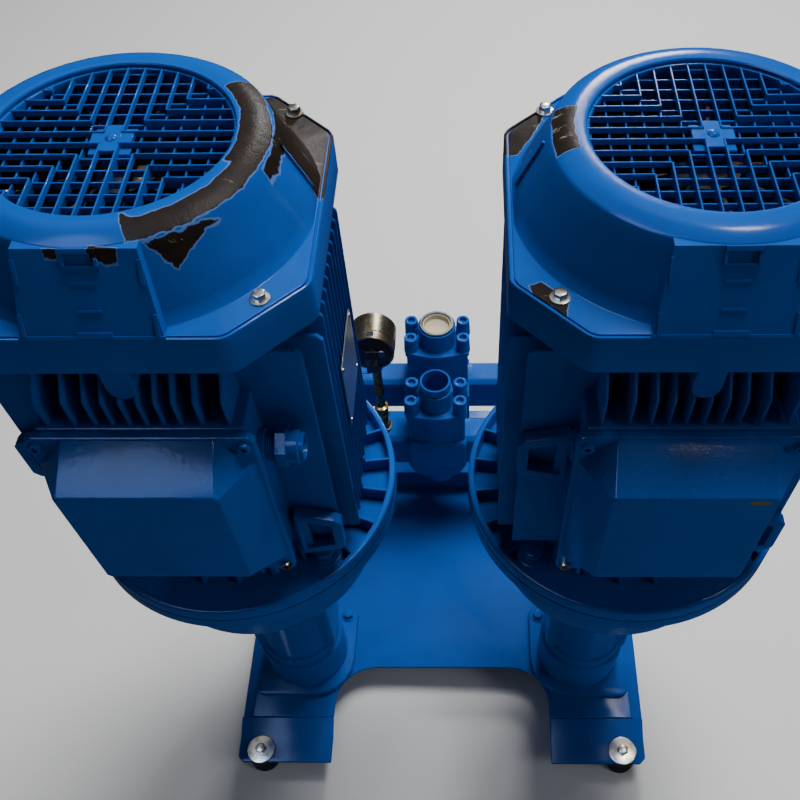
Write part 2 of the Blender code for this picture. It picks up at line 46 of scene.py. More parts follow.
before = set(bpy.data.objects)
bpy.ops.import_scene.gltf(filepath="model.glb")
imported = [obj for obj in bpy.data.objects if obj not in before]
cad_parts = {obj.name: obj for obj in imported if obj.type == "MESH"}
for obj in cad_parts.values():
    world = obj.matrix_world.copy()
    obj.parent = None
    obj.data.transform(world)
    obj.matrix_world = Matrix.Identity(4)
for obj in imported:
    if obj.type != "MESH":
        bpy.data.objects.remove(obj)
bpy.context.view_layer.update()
BODY = "pump_unit"
SIDES = ("left", "right")
OUTWARD = {"left": -1.0, "right": 1.0}
ENDS = (("front", -1.0), ("rear", 1.0))
PHOTO_PIXELS = 800

# A flat outline stands upright: across and up become X and Z, or Y and Z
ALONG_Y = Matrix(((1, 0, 0, 0), (0, 0, 1, 0), (0, 1, 0, 0), (0, 0, 0, 1)))
ALONG_X = Matrix(((0, 0, 1, 0), (1, 0, 0, 0), (0, 1, 0, 0), (0, 0, 0, 1)))


def length(name, about, default):
    return bpy.props.FloatProperty(name=name, description=about, default=default, min=0.0, unit="LENGTH")


def colour(name, about, default):
    return bpy.props.FloatVectorProperty(name=name, description=about, default=default, min=0.0, max=1.0,
                                         subtype="COLOR")


class PumpSizes(bpy.types.PropertyGroup):
    """Sizes that the frame leaves open."""

    edge_round: length("Edge rounding", "Rounding of machined and moulded edges", 0.0012)
    cast_round: length("Casting rounding", "Rounding of cast edges", 0.0028)
    grille_pitch: length("Grille pitch", "Distance between the grille's bars", 0.0119)
    bar_width: length("Bar width", "Thickness of a grille bar", 0.0013)
    bar_depth: length("Bar depth", "Height of the tall grille bars", 0.0085)
    cross_drop: length("Cross bar drop", "How far the cross bars lie below the tall ones", 0.0036)
    fin_pitch: length("Fin pitch", "Distance between the stator's fins", 0.0127)
    fin_width: length("Fin width", "Thickness of a stator fin at its root", 0.0048)
    bolt_flats: length("Cover bolt", "Width across flats of the cover's bolts", 0.0085)
    flange_bolt_flats: length("Flange bolt", "Width across flats of the flange bolts", 0.019)
    screw_head: length("Port screw", "Diameter of the port flange's screw heads", 0.0190)
    grille_bars: bpy.props.IntProperty(name="Grille bars", description="Bars each way", default=14, min=2)
    fin_count: bpy.props.IntProperty(name="Fins", description="Fins on each side of a stator", default=10,
                                     min=2)
    flange_ribs: bpy.props.IntProperty(name="Flange ribs", description="Radial ribs in a motor flange",
                                       default=24, min=4)


class PumpColours(bpy.types.PropertyGroup):
    """Colours of the unit's finishes."""

    enamel: colour("Enamel", "Glossy blue enamel", (0.0008, 0.072, 0.36))
    worn: colour("Bare patches", "Dark moulding where the enamel has come off", (0.0095, 0.0062, 0.0046))
    zinc: colour("Zinc", "Plated bolts and washers", (0.60, 0.57, 0.50))
    steel: colour("Steel", "Brushed steel", (0.46, 0.40, 0.31))
    plate: colour("Plate", "Blank nameplate", (0.66, 0.66, 0.65))
    brass: colour("Brass", "Turned brass", (0.50, 0.33, 0.12))
    fan: colour("Fan", "Moulded fan", (0.006, 0.010, 0.018))
    rubber: colour("Rubber", "Rubber mounts", (0.012, 0.012, 0.012))
    cap: colour("Cap", "Protective cap in the suction port", (0.50, 0.43, 0.31))
    gauge_back: colour("Gauge back", "Dark back of the gauge", (0.030, 0.012, 0.012))
    floor: colour("Floor", "Pale studio floor", (0.66, 0.66, 0.65))


def sizes():
    return bpy.context.scene.pump_sizes


def colours():
    return bpy.context.scene.pump_colours


class Signal:
    """A number on its way through a node tree: arithmetic on it adds the Math nodes."""

    def __init__(self, graph, socket):
        self.graph = graph
        self.socket = socket

    def run(self, operation, *values):
        inputs = dict(enumerate(values))
        return self.graph.node("ShaderNodeMath", {"operation": operation}, inputs)

    def __add__(self, other):
        return self.run("ADD", self, other)

    def __sub__(self, other):
        return self.run("SUBTRACT", self, other)

    def __rsub__(self, other):
        return self.run("SUBTRACT", other, self)

    def __mul__(self, other):
        return self.run("MULTIPLY", self, other)

    def __truediv__(self, other):
        return self.run("DIVIDE", self, other)

    __radd__ = __add__
    __rmul__ = __mul__

    def least(self, other):
        return self.run("MINIMUM", self, other)

    def most(self, other):
        return self.run("MAXIMUM", self, other)

    def run_root(self):
        return self.run("SQRT", self)

    def step(self, soft):
        """0 below nought and 1 above it, with a soft edge of the given width."""
        return self.graph.node("ShaderNodeMapRange", {"interpolation_type": "SMOOTHSTEP"},
                               {"Value": self, "From Min": -soft, "From Max": soft})


class Graph:
    """A node tree that is built one node at a time."""

    def __init__(self, tree):
        self.tree = tree

    def node(self, kind, settings=None, inputs=None, out=0):
        """One node of a kind: its settings, then the values or links of its sockets."""
        node = self.tree.nodes.new(kind)
        for key, value in (settings or {}).items():
            if key == "stops":
                while len(node.color_ramp.elements) < len(value):
                    node.color_ramp.elements.new(1.0)
                for element, (place, shade) in zip(node.color_ramp.elements, value):
                    element.position = place
                    element.color = shade
            else:
                setattr(node, key, value)
        for key, value in (inputs or {}).items():
            socket = node.inputs[key]
            if isinstance(value, (Signal, list)):
                for signal in value if isinstance(value, list) else [value]:
                    self.tree.links.new(signal.socket, socket)
            else:
                socket.default_value = value
        return Signal(self, node.outputs[out])


class Paint(Graph):
    """A material's graph, with its shader and the object's own coordinates."""

    def __init__(self, name, base, rough=0.4, metal=0.0, coat=0.0, coat_rough=0.05):
        self.material = bpy.data.materials.new(name)
        self.material.use_nodes = True
        super().__init__(self.material.node_tree)
        self.shader = self.tree.nodes["Principled BSDF"]
        self.base = (*base, 1.0)
        self.set("Base Color", self.base)
        self.set("Roughness", rough)
        self.set("Metallic", metal)
        self.set("Coat Weight", coat)
        self.set("Coat Roughness", coat_rough)
        self.place = self.node("ShaderNodeTexCoord", out=3)
        apart = self.tree.nodes.new("ShaderNodeSeparateXYZ")
        self.tree.links.new(self.place.socket, apart.inputs[0])
        self.x, self.y, self.z = (Signal(self, socket) for socket in apart.outputs)

    def set(self, key, value):
        """A constant, or a link, on one of the shader's own sockets."""
        socket = self.shader.inputs[key]
        if isinstance(value, Signal):
            self.tree.links.new(value.socket, socket)
        else:
            socket.default_value = value

    def noise(self, scale, detail=3.0, rough=0.55, where=None):
        return self.node("ShaderNodeTexNoise", None, {"Vector": where or self.place, "Scale": scale,
                                                      "Detail": detail, "Roughness": rough})

    def mix(self, share, first, second):
        """A colour between two: first where share is 0, second where it is 1."""
        return self.node("ShaderNodeMix", {"data_type": "RGBA"}, {0: share, 6: first, 7: second}, 2)

    def stretched(self, across, along, up):
        """The object's coordinates scaled each way, for brushed and run marks."""
        return self.node("ShaderNodeMapping", None, {"Vector": self.place, "Scale": (across, along, up)})

    def bump(self, height, strength, distance, under=None):
        inputs = {"Height": height, "Strength": strength, "Distance": distance}
        if under is not None:
            inputs["Normal"] = under
        return self.node("ShaderNodeBump", None, inputs)


def inside(paint, across, up, outline, soft):
    """1 inside a convex outline given anticlockwise, 0 outside it."""
    nearest = None
    for start, end in zip(outline, outline[1:] + outline[:1]):
        run = Vector((end[0] - start[0], end[1] - start[1])).normalized()
        depth = (up - start[1]) * run.x - (across - start[0]) * run.y
        nearest = depth if nearest is None else nearest.least(depth)
    return nearest, nearest.step(soft)


class Form:
    """A mesh in the making, built up from closed solids."""

    def __init__(self):
        self.bm = bmesh.new()

    def close(self, first_face):
        """Point the newest solid's faces outwards."""
        self.bm.faces.ensure_lookup_table()
        bmesh.ops.recalc_face_normals(self.bm, faces=self.bm.faces[first_face:])
        return self

    def loft(self, rings, ring_shaped=False, place=None):
        """Rings of as many points each, joined in order, and capped unless the last meets the first."""
        first_face = len(self.bm.faces)
        place = place or Matrix.Identity(4)
        rows = [[self.bm.verts.new(place @ Vector(point)) for point in ring] for ring in rings]
        pairs = list(zip(rows, rows[1:]))
        if ring_shaped:
            pairs.append((rows[-1], rows[0]))
        else:
            self.bm.faces.new(rows[0])
            self.bm.faces.new(rows[-1])
        for lower, upper in pairs:
            for number in range(len(lower)):
                after = (number + 1) % len(lower)
                self.bm.faces.new((lower[number], lower[after], upper[after], upper[number]))
        return self.close(first_face)

    def lathe(self, profile, steps=64, place=None, ring_shaped=False):
        """Radius and height pairs turned round Z. Radius 0 at an end closes to a point."""
        first_face = len(self.bm.faces)
        place = place or Matrix.Identity(4)
        rows = []
        for radius, height in profile:
            if radius == 0:
                rows.append([self.bm.verts.new(place @ Vector((0.0, 0.0, height)))])
            else:
                rows.append([self.bm.verts.new(place @ Vector((radius * cos(2 * pi * step / steps),
                                                               radius * sin(2 * pi * step / steps), height)))
                             for step in range(steps)])
        pairs = list(zip(rows, rows[1:]))
        if ring_shaped:
            pairs.append((rows[-1], rows[0]))
        else:
            for row in (rows[0], rows[-1]):
                if len(row) > 1:
                    self.bm.faces.new(row)
        for lower, upper in pairs:
            for step in range(steps):
                after = (step + 1) % steps
                corners = [lower[step % len(lower)], lower[after % len(lower)],
                           upper[after % len(upper)], upper[step % len(upper)]]
                self.bm.faces.new(list(dict.fromkeys(corners)))
        return self.close(first_face)

    def prism(self, outline, low, high, place=None):
        """A flat outline between two heights."""
        return self.loft([[(x, y, low) for x, y in outline], [(x, y, high) for x, y in outline]], place=place)

    def box(self, low, high, place=None):
        return self.prism(((low[0], low[1]), (high[0], low[1]), (high[0], high[1]), (low[0], high[1])),
                          low[2], high[2], place)

    def tube(self, path, radius, steps=12):
        """A round bar along a path of points."""
        rings = []
        for number, point in enumerate(path):
            before = Vector(path[max(number - 1, 0)])
            after = Vector(path[min(number + 1, len(path) - 1)])
            turn = (after - before).to_track_quat("Z", "Y").to_matrix()
            rings.append([Vector(point) + turn @ Vector((radius * cos(2 * pi * step / steps),
                                                         radius * sin(2 * pi * step / steps), 0.0))
                          for step in range(steps)])
        return self.loft(rings)

    def mesh(self, name):
        mesh = bpy.data.meshes.new(name)
        self.bm.to_mesh(mesh)
        self.bm.free()
        return mesh


def round_outline(outline, radius, steps=4):
    """An outline with its corners rounded to a radius."""
    points = []
    for number, corner in enumerate(outline):
        corner = Vector(corner)
        before = (Vector(outline[number - 1]) - corner)
        after = (Vector(outline[(number + 1) % len(outline)]) - corner)
        half = 0.5 * before.angle(after)
        reach = min(radius / max(sin(half) / cos(half), 0.01), 0.49 * before.length, 0.49 * after.length)
        first = corner + before.normalized() * reach
        last = corner + after.normalized() * reach
        for step in range(steps + 1):
            share = step / steps
            points.append(tuple((1 - share) ** 2 * first + 2 * share * (1 - share) * corner + share ** 2 * last))
    return points


def rectangle(low, high):
    return [(low[0], low[1]), (high[0], low[1]), (high[0], high[1]), (low[0], high[1])]


def hexagon(flats, turn=0.0):
    radius = flats / sqrt(3)
    return [(radius * cos(turn + pi * k / 3), radius * sin(turn + pi * k / 3)) for k in range(6)]


def axis_of(side):
    """A pump unit's own axis, from its cover's box."""
    low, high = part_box("fan_cover_" + side)
    return 0.5 * (low[0] + high[0]), 0.5 * (low[1] + high[1])


def at_axis(side):
    return Matrix.Translation((*axis_of(side), 0.0))


def lying(place, direction):
    """A matrix that puts +Z of a form along a direction, at a place."""
    turn = Vector(direction).to_track_quat("Z", "Y").to_matrix().to_4x4()
    return Matrix.Translation(place) @ turn


def new_object(name, mesh):
    obj = bpy.data.objects.new(name, mesh)
    bpy.context.scene.collection.objects.link(obj)
    return obj


def baked(obj):
    """Turn the object's modifiers into a plain mesh."""
    bpy.context.view_layer.update()
    graph = bpy.context.evaluated_depsgraph_get()
    mesh = bpy.data.meshes.new_from_object(obj.evaluated_get(graph), preserve_all_data_layers=True,
                                           depsgraph=graph)
    obj.modifiers.clear()
    obj.data = mesh
    return obj


def finish_piece(obj, finish, stands_for=(), body=BODY, slot="blue_enamel", round_by=0.0, steps=2, sharp=40):
    """Round the edges, give the finish, tie the piece to its body, and hide the frame solids it stands for. The
    slot argument is not used.
    """
    if round_by:
        bevel = obj.modifiers.new("Edges", "BEVEL")
        bevel.width = round_by
        bevel.segments = steps
        bevel.limit_method = "ANGLE"
        bevel.angle_limit = radians(28)
        bevel.miter_outer = "MITER_ARC"
        baked(obj)
    obj.data.materials.clear()
    obj.data.materials.append(finish)
    for face in obj.data.polygons:
        face.use_smooth = True
        face.material_index = 0
    obj.data.set_sharp_from_angle(angle=radians(sharp))
    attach(obj, body)
    if stands_for:
        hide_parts(*stands_for)
    return obj


def make_piece(form, name, finish, **how):
    return finish_piece(new_object(name, form.mesh(name)), finish, **how)


def polished(node, finish, name=None, **how):
    """A copy of a frame solid with its triangles joined up and its edges rounded, which stands for it."""
    bm = bmesh.new()
    bm.from_mesh(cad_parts[node].data)
    bmesh.ops.remove_doubles(bm, verts=bm.verts, dist=0.00002)
    bmesh.ops.dissolve_limit(bm, angle_limit=radians(1.5), verts=bm.verts, edges=bm.edges)
    mesh = bpy.data.meshes.new(node)
    bm.to_mesh(mesh)
    bm.free()
    obj = new_object(name or "finished_" + node, mesh)
    return finish_piece(obj, finish, stands_for=(node,), **how)


class Growth(Graph):
    """A Geometry Nodes tree with named inputs, that is run once on an object."""

    def __init__(self, name, **inputs):
        tree = bpy.data.node_groups.new(name, "GeometryNodeTree")
        super().__init__(tree)
        tree.interface.new_socket("Geometry", in_out="OUTPUT", socket_type="NodeSocketGeometry")
        tree.interface.new_socket("Geometry", in_out="INPUT", socket_type="NodeSocketGeometry")
        self.values = inputs
        for key, value in inputs.items():
            kind = {int: "NodeSocketInt", float: "NodeSocketFloat"}.get(type(value))
            if isinstance(value, bpy.types.Object):
                kind = "NodeSocketObject"
            elif isinstance(value, bpy.types.Material):
                kind = "NodeSocketMaterial"
            tree.interface.new_socket(key, in_out="INPUT", socket_type=kind)
        source = tree.nodes.new("NodeGroupInput")
        self.given = {socket.name: Signal(self, socket) for socket in source.outputs if socket.name}

    def grow(self, geometry, points, finish_key="Finish"):
        """Realize the copies, set the finish, and run the tree on a bare object of these points."""
        whole = self.node("GeometryNodeRealizeInstances", None, {0: geometry})
        painted = self.node("GeometryNodeSetMaterial", None, {"Geometry": whole,
                                                              "Material": self.given[finish_key]})
        out = self.tree.nodes.new("NodeGroupOutput")
        self.tree.links.new(painted.socket, out.inputs[0])
        obj = new_object(self.tree.name, points)
        modifier = obj.modifiers.new("Growth", "NODES")
        modifier.node_group = self.tree
        for item in self.tree.interface.items_tree:
            if item.in_out == "INPUT" and item.name in self.values:
                modifier[item.identifier] = self.values[item.name]
        baked(obj)
        mesh = obj.data
        bpy.data.objects.remove(obj)
        return mesh


def points_mesh(name, spots, **vectors):
    """Loose points, each with named vectors for the copies that are put on it."""
    mesh = bpy.data.meshes.new(name)
    mesh.from_pydata([tuple(spot) for spot in spots], [], [])
    for key, values in vectors.items():
        layer = mesh.attributes.new(key, "FLOAT_VECTOR", "POINT")
        layer.data.foreach_set("vector", [number for value in values for number in value])
    return mesh


def copies(name, pattern, spots, turns, finish, scales=None):
    """A mesh with a pattern form on each spot, turned by Euler angles and scaled."""
    shape = new_object("pattern", pattern.mesh("pattern"))
    growth = Growth(name, Pattern=shape, Finish=finish)
    points = points_mesh("spots", spots, turn=turns, size=scales or [(1.0, 1.0, 1.0)] * len(spots))
    look = growth.node("GeometryNodeObjectInfo", None, {"Object": growth.given["Pattern"]}, "Geometry")
    turn = growth.node("GeometryNodeInputNamedAttribute", {"data_type": "FLOAT_VECTOR"}, {"Name": "turn"})
    size = growth.node("GeometryNodeInputNamedAttribute", {"data_type": "FLOAT_VECTOR"}, {"Name": "size"})
    angles = growth.node("FunctionNodeEulerToRotation", None, {0: turn})
    placed = growth.node("GeometryNodeInstanceOnPoints", None,
                         {"Points": growth.given["Geometry"], "Instance": look, "Rotation": angles, "Scale": size})
    mesh = growth.grow(placed, points)
    drop_pattern(shape)
    return mesh


def copies_piece(name, pattern, spots, turns, finish, scales=None, **how):
    mesh = copies(name, pattern, spots, turns, finish, scales)
    return finish_piece(new_object(name, mesh), finish, **how)


def row_of(name, pattern, count, pitch, finish):
    """Copies of a form in a row along Y, centred on the origin."""
    shape = new_object("pattern", pattern.mesh("pattern"))
    growth = Growth(name, Pattern=shape, Count=count, Pitch=pitch, Finish=finish)
    start = growth.given["Pitch"] * (growth.given["Count"] - 1) * -0.5
    begin = growth.node("ShaderNodeCombineXYZ", None, {"Y": start})
    apart = growth.node("ShaderNodeCombineXYZ", None, {"Y": growth.given["Pitch"]})
    line = growth.node("GeometryNodeMeshLine", None, {"Count": growth.given["Count"],
                                                      "Start Location": begin, "Offset": apart})
    look = growth.node("GeometryNodeObjectInfo", None, {"Object": growth.given["Pattern"]}, "Geometry")
    row = growth.node("GeometryNodeInstanceOnPoints", None, {"Points": line, "Instance": look})
    mesh = growth.grow(row, points_mesh("none", []))
    drop_pattern(shape)
    return mesh


def ring_of(name, pattern, count, finish):
    """Copies of a form in a ring round Z, evenly spaced from half a step past +X."""
    shape = new_object("pattern", pattern.mesh("pattern"))
    growth = Growth(name, Pattern=shape, Count=count, Finish=finish)
    line = growth.node("GeometryNodeMeshLine", None, {"Count": growth.given["Count"],
                                                      "Offset": (0.0, 0.0, 0.0)})
    number = growth.node("GeometryNodeInputIndex")
    angle = (number + 0.5) * (2 * pi) / growth.given["Count"]
    turn = growth.node("ShaderNodeCombineXYZ", None, {"Z": angle})
    rotation = growth.node("FunctionNodeEulerToRotation", None, {0: turn})
    look = growth.node("GeometryNodeObjectInfo", None, {"Object": growth.given["Pattern"]}, "Geometry")
    ring = growth.node("GeometryNodeInstanceOnPoints", None,
                       {"Points": line, "Instance": look, "Rotation": rotation})
    mesh = growth.grow(ring, points_mesh("none", []))
    drop_pattern(shape)
    return mesh


def drop_pattern(shape):
    data = shape.data
    bpy.data.objects.remove(shape)
    bpy.data.meshes.remove(data)


def joined(meshes, place=None):
    """Meshes put together in one form, after a move."""
    form = Form()
    for mesh, matrix in meshes:
        part = mesh.copy()
        part.transform(matrix)
        form.bm.from_mesh(part)
        bpy.data.meshes.remove(part)
    return form


def facing(direction, spin=0.0):
    """Euler angles that turn +Z to a direction, after a spin about it."""
    turn = Vector(direction).to_track_quat("Z", "Y").to_matrix().to_4x4() @ Matrix.Rotation(spin, 4, "Z")
    return tuple(turn.to_euler())


def hex_bolt(flats, head, washer, washer_thick, domed=0.12):
    """A hexagon head with a chamfered top on a washer, standing on z = 0."""
    form = Form()
    form.lathe([(0.0, 0.0), (washer, 0.0), (washer, washer_thick * 0.8), (washer * 0.96, washer_thick),
                (0.0, washer_thick)], 28)
    outline = hexagon(flats)
    low = washer_thick * 0.9
    inner = [(x * (1 - domed), y * (1 - domed)) for x, y in outline]
    form.loft([[(x, y, low) for x, y in outline],
               [(x, y, low + head * 0.84) for x, y in outline],
               [(x, y, low + head) for x, y in inner]])
    return form


def socket_screw(radius, head, socket):
    """A round head with a hexagon socket, standing on z = 0."""
    form = Form()
    steps = 24
    def circle(size, height):
        return [(size * cos(2 * pi * k / steps), size * sin(2 * pi * k / steps), height) for k in range(steps)]
    def hollow(height):
        points = []
        for k in range(steps):
            angle = 2 * pi * k / steps
            within = (angle + pi / 6) % (pi / 3) - pi / 6
            reach = socket / cos(within)
            points.append((reach * cos(angle), reach * sin(angle), height))
        return points
    form.loft([circle(radius, 0.0), circle(radius, head * 0.86), circle(radius * 0.97, head * 0.95),
               circle(radius * 0.9, head), hollow(head), hollow(head * 0.45)])
    return form


FINISHES = {}
ENAMEL_ROUGH = 0.18
WORN_ROUGH = 0.42


def enamel(name, peel=0.00012, grain=0.0, specks=0.0):
    """Glossy blue enamel: a little orange peel, faint tone, and casting grain or pale specks on request."""
    paint = Paint(name, colours().enamel, ENAMEL_ROUGH)
    paint.set("Specular IOR Level", 0.13)
    deep = tuple(0.62 * value for value in colours().enamel)
    tone = paint.noise(14.0, 4.0)
    shade = paint.mix((tone - 0.35) * 1.1, paint.base, (*deep, 1.0))
    film = paint.noise(55.0, 5.0, 0.7)
    if specks:
        dots = paint.node("ShaderNodeTexVoronoi", None, {"Vector": paint.place, "Scale": 230.0})
        chosen = (paint.noise(9.0, 2.0) - 0.52).step(0.08)
        shade = paint.mix((0.12 - dots).step(0.05) * chosen * specks, shade, (0.10, 0.30, 0.55, 1.0))
    paint.set("Base Color", shade)
    paint.set("Roughness", ENAMEL_ROUGH + (film - 0.5) * 0.16)
    paint.height = paint.noise(210.0, 2.0) * peel
    if grain:
        paint.height = paint.height + paint.noise(620.0, 3.0, 0.6) * grain
    paint.shade = shade
    paint.set("Normal", paint.bump(paint.height, 0.55, 1.0))
    return paint


def lid_paint():
    """The lids' enamel, with a few pale specks and an olive smear under the right one's upper edge."""
    paint = enamel("lid_enamel", 0.00030, specks=0.28)
    away = (paint.x - 0.2371) * (paint.x - 0.2371) * 0.13 + (paint.z - 0.7070) * (paint.z - 0.7070)
    smear = (0.0027 + (paint.noise(90.0, 3.0) - 0.5) * 0.0016 - away.run_root()).step(0.0004)
    front = ((paint.y * -1.0) - 0.322).step(0.001)
    paint.set("Base Color", paint.mix(smear * front, paint.shade, (0.105, 0.120, 0.050, 1.0)))
    return paint.material


def ring_part(paint, radius, across, up, inner, outer, start, end):
    """How deep a point lies inside a part of a ring, between two angles less than a half turn apart."""
    depth = (radius - inner).least(outer - radius)
    start_side = up * cos(radians(start)) - across * sin(radians(start))
    end_side = across * sin(radians(end)) - up * cos(radians(end))
    return depth.least(start_side).least(end_side)


def cover_patches(paint, side, across, up, radius):
    """Depth inside the nearest bare patch of a fan cover, from its axis."""
    def field(outline):
        return inside(paint, across, up, outline, 0.001)[0]
    if side == "left":
        crown_inner = 0.0838 + (across * 0.6947 + up * -0.7193 - 0.078).step(0.004) * 0.0055
        crown = ring_part(paint, radius, across, up, crown_inner, 0.1028, 287, 38)
        drip = ring_part(paint, radius, across, up, 0.1040, 0.1090, -16, 4)
        flank = field([(0.095, 0.0040), (0.132, 0.0040), (0.132, 0.080), (0.0834, 0.1285), (0.0725, 0.1240),
                       (0.0500, 0.0900)]).least(radius - 0.1043)
        bolt = 0.0062 - ((across - 0.1035) * (across - 0.1035) + (up - 0.1085) * (up - 0.1085)).run_root()
        flank = flank.least(bolt * -1.0)
        chip = field([(0.0401, -0.0965), (0.0557, -0.0990), (0.0760, -0.0738)]).least(radius - 0.1045)
        latch = field([(0.010, -0.1065), (0.024, -0.1065), (0.025, -0.1035), (0.010, -0.1030)])
        latch = latch.most(field([(-0.018, -0.1065), (-0.010, -0.1065), (-0.010, -0.1035), (-0.018, -0.1035)]))
        return crown.most(drip).most(flank).most(chip).most(latch)
    crown = ring_part(paint, radius, across, up, 0.0884, 0.1026, 164, 192)
    corner = field([(-0.1320, 0.0515), (-0.1180, 0.0505), (-0.1085, 0.0760), (-0.0960, 0.1020),
                    (-0.0860, 0.1275), (-0.1300, 0.0850)]).least(radius - 0.1285)
    bolt = field([(-0.1165, -0.0842), (-0.1148, -0.0915), (-0.0950, -0.1113), (-0.0940, -0.1014),
                  (-0.1031, -0.0871), (-0.1096, -0.0812)]).least(radius - 0.1288)
    return crown.most(corner).most(bolt)


def cover_paint(side):
    """Enamel with bare patches where it has come off the moulding, down to a wrinkled dark film, with pale streaks
    painted on the film as its glints.
    """
    paint = enamel("cover_enamel_" + side)
    middle_x, middle_y = axis_of(side)
    across = paint.x - middle_x
    up = paint.y - middle_y
    radius = (across * across + up * up).run_root()
    ragged = (paint.noise(110.0, 2.0, 0.6) - 0.5) * 0.0036 + (paint.noise(30.0, 2.0) - 0.5) * 0.0044
    depth = (cover_patches(paint, side, across, up, radius) + ragged).least((paint.z - 0.8186) * 2.0)
    bare = depth.step(0.00022)
    rim = (depth + 0.0007).step(0.0003) - bare
    # Painted glints: pale, slightly glossier streaks on the bare film stand in for where its gloss catches the
    # light.
    painted_glint_streaks = paint.noise(26.0, 5.0, 0.72, paint.stretched(1.0, 3.4, 1.0))
    painted_film_glint = (painted_glint_streaks - 0.640).step(0.030) * 0.75
    worn = (*colours().worn, 1.0)
    umber = tuple(2.1 * value for value in colours().worn)
    film = paint.mix((paint.noise(60.0, 4.0) - 0.3) * 1.4, worn, (*umber, 1.0))
    film = paint.mix(painted_film_glint, film, (0.26, 0.22, 0.17, 1.0))
    shade = paint.mix(rim * 0.22, paint.shade, (0.35, 0.45, 0.52, 1.0))
    paint.set("Base Color", paint.mix(bare, shade, film))
    paint.set("Roughness", ENAMEL_ROUGH + bare * (WORN_ROUGH - ENAMEL_ROUGH) - bare * painted_film_glint * 0.25)
    wrinkle = paint.noise(120.0, 4.0, 0.7) * 0.0011
    paint.set("Normal", paint.bump(paint.height + bare * (wrinkle - 0.0004), 0.5, 1.0))
    return paint.material


def brushed(name, tone, scale, rough=0.30, stain=None):
    """Bare metal with fine brush marks and a few darker spots."""
    paint = Paint(name, tone, rough, metal=1.0)
    marks = paint.noise(90.0, 4.0, 0.6, paint.stretched(*scale))
    dark = tuple(0.55 * value for value in tone)
    shade = paint.mix((marks - 0.3) * 0.9, paint.base, (*dark, 1.0))
    if stain:
        shade = paint.mix((paint.noise(75.0, 4.0, 0.65) - 0.56).step(0.10) * 0.7, shade, (*stain, 1.0))
    paint.set("Base Color", shade)
    paint.set("Roughness", rough + (marks - 0.5) * 0.25)
    paint.set("Normal", paint.bump(marks * 0.00012, 0.5, 1.0))
    return paint.material


def moulding(name, tone, rough, grain, mottle=0.7):
    """Rubber or moulded plastic with a fine grain."""
    paint = Paint(name, tone, rough)
    other = tuple(mottle * value for value in tone)
    cloud = paint.noise(34.0, 4.0)
    paint.set("Base Color", paint.mix((cloud - 0.3) * 1.2, paint.base, (*other, 1.0)))
    paint.set("Roughness", rough + (cloud - 0.5) * 0.2)
    paint.set("Normal", paint.bump(paint.noise(480.0, 3.0) * grain, 0.5, 1.0))
    return paint.material


def fan_paint():
    """Dark fan with brownish patches painted on it as glints, scattered by noise."""
    paint = Paint("fan_plastic", colours().fan, 0.35)
    # Painted glints: brownish patches that stand in for light caught on the fan.
    painted_fan_glints = (paint.noise(60.0, 4.0, 0.7) - 0.50).step(0.12)
    paint.set("Base Color", paint.mix(painted_fan_glints * 0.8, paint.base, (0.085, 0.040, 0.018, 1.0)))
    paint.set("Roughness", 0.32 + painted_fan_glints * 0.35)
    paint.set("Normal", paint.bump(paint.noise(400.0) * 0.0002, 0.5, 1.0))
    return paint.material


def gauge_back_paint():
    """Dark red-brown back with pale scuffs."""
    paint = Paint("gauge_back", colours().gauge_back, 0.32, coat=0.3)
    scuff = (paint.noise(95.0, 5.0, 0.75) - 0.62).step(0.05)
    cloud = paint.noise(30.0)
    paint.set("Base Color", paint.mix(scuff * 0.6, paint.mix(cloud - 0.2, paint.base, (0.010, 0.006, 0.010, 1.0)),
                                      (0.24, 0.20, 0.19, 1.0)))
    paint.set("Roughness", 0.30 + scuff * 0.3)
    paint.set("Normal", paint.bump(paint.noise(260.0) * 0.0002, 0.5, 1.0))
    return paint.material


def floor_paint():
    """Pale plaster floor with hardly any tone."""
    paint = Paint("floor_plain", colours().floor, 0.75)
    paint.set("Base Color", paint.mix(paint.noise(2.0) * 0.25, paint.base, (0.60, 0.60, 0.59, 1.0)))
    return paint.material


def make_finishes():
    tones = colours()
    FINISHES.update({
        "cover_left": cover_paint("left"),
        "cover_right": cover_paint("right"),
        "cast": enamel("cast_enamel", 0.00016, grain=0.00022).material,
        "rough_cast": enamel("rough_cast_enamel", 0.0003, grain=0.0013).material,
        "sheet": enamel("sheet_enamel", 0.00007).material,
        "lid": lid_paint(),
        "grille": enamel("grille_enamel", 0.00005).material,
        "zinc": brushed("zinc_plate", tones.zinc, (1.0, 1.0, 1.0), 0.30, (0.22, 0.17, 0.10)),
        "steel": brushed("brushed_steel", tones.steel, (0.3, 0.3, 6.0), 0.30, (0.15, 0.09, 0.05)),
        "plate": brushed("blank_plate", tones.plate, (1.0, 5.0, 0.5), 0.32),
        "brass": brushed("turned_brass", tones.brass, (0.4, 0.4, 7.0), 0.28, (0.13, 0.08, 0.04)),
        "bare_tube": brushed("bare_tube", (0.24, 0.25, 0.26), (0.5, 0.5, 5.0), 0.38, (0.08, 0.06, 0.05)),
        "rubber": moulding("black_rubber", tones.rubber, 0.72, 0.0004),
        "cap": moulding("cap_plastic", tones.cap, 0.55, 0.0003, 0.55),
        "fan": fan_paint(),
        "dial": moulding("blank_dial", (0.62, 0.61, 0.57), 0.5, 0.0001),
        "gauge_back": gauge_back_paint(),
        "dark": moulding("dark_gap", (0.004, 0.006, 0.010), 0.6, 0.0003),
    })


COVER_HALF = 0.130
COVER_FLAT = 0.081
CONE_FOOT = (0.128, 0.820)
CREASE = (0.1035, 0.8675)
PANEL_LEAN = Matrix(((1.0, 0.0, 0.0, 0.0), (0.0, 0.46573, -0.88490, -0.1285),
                     (0.0, 0.88490, 0.46573, 0.8200), (0.0, 0.0, 0.0, 1.0)))


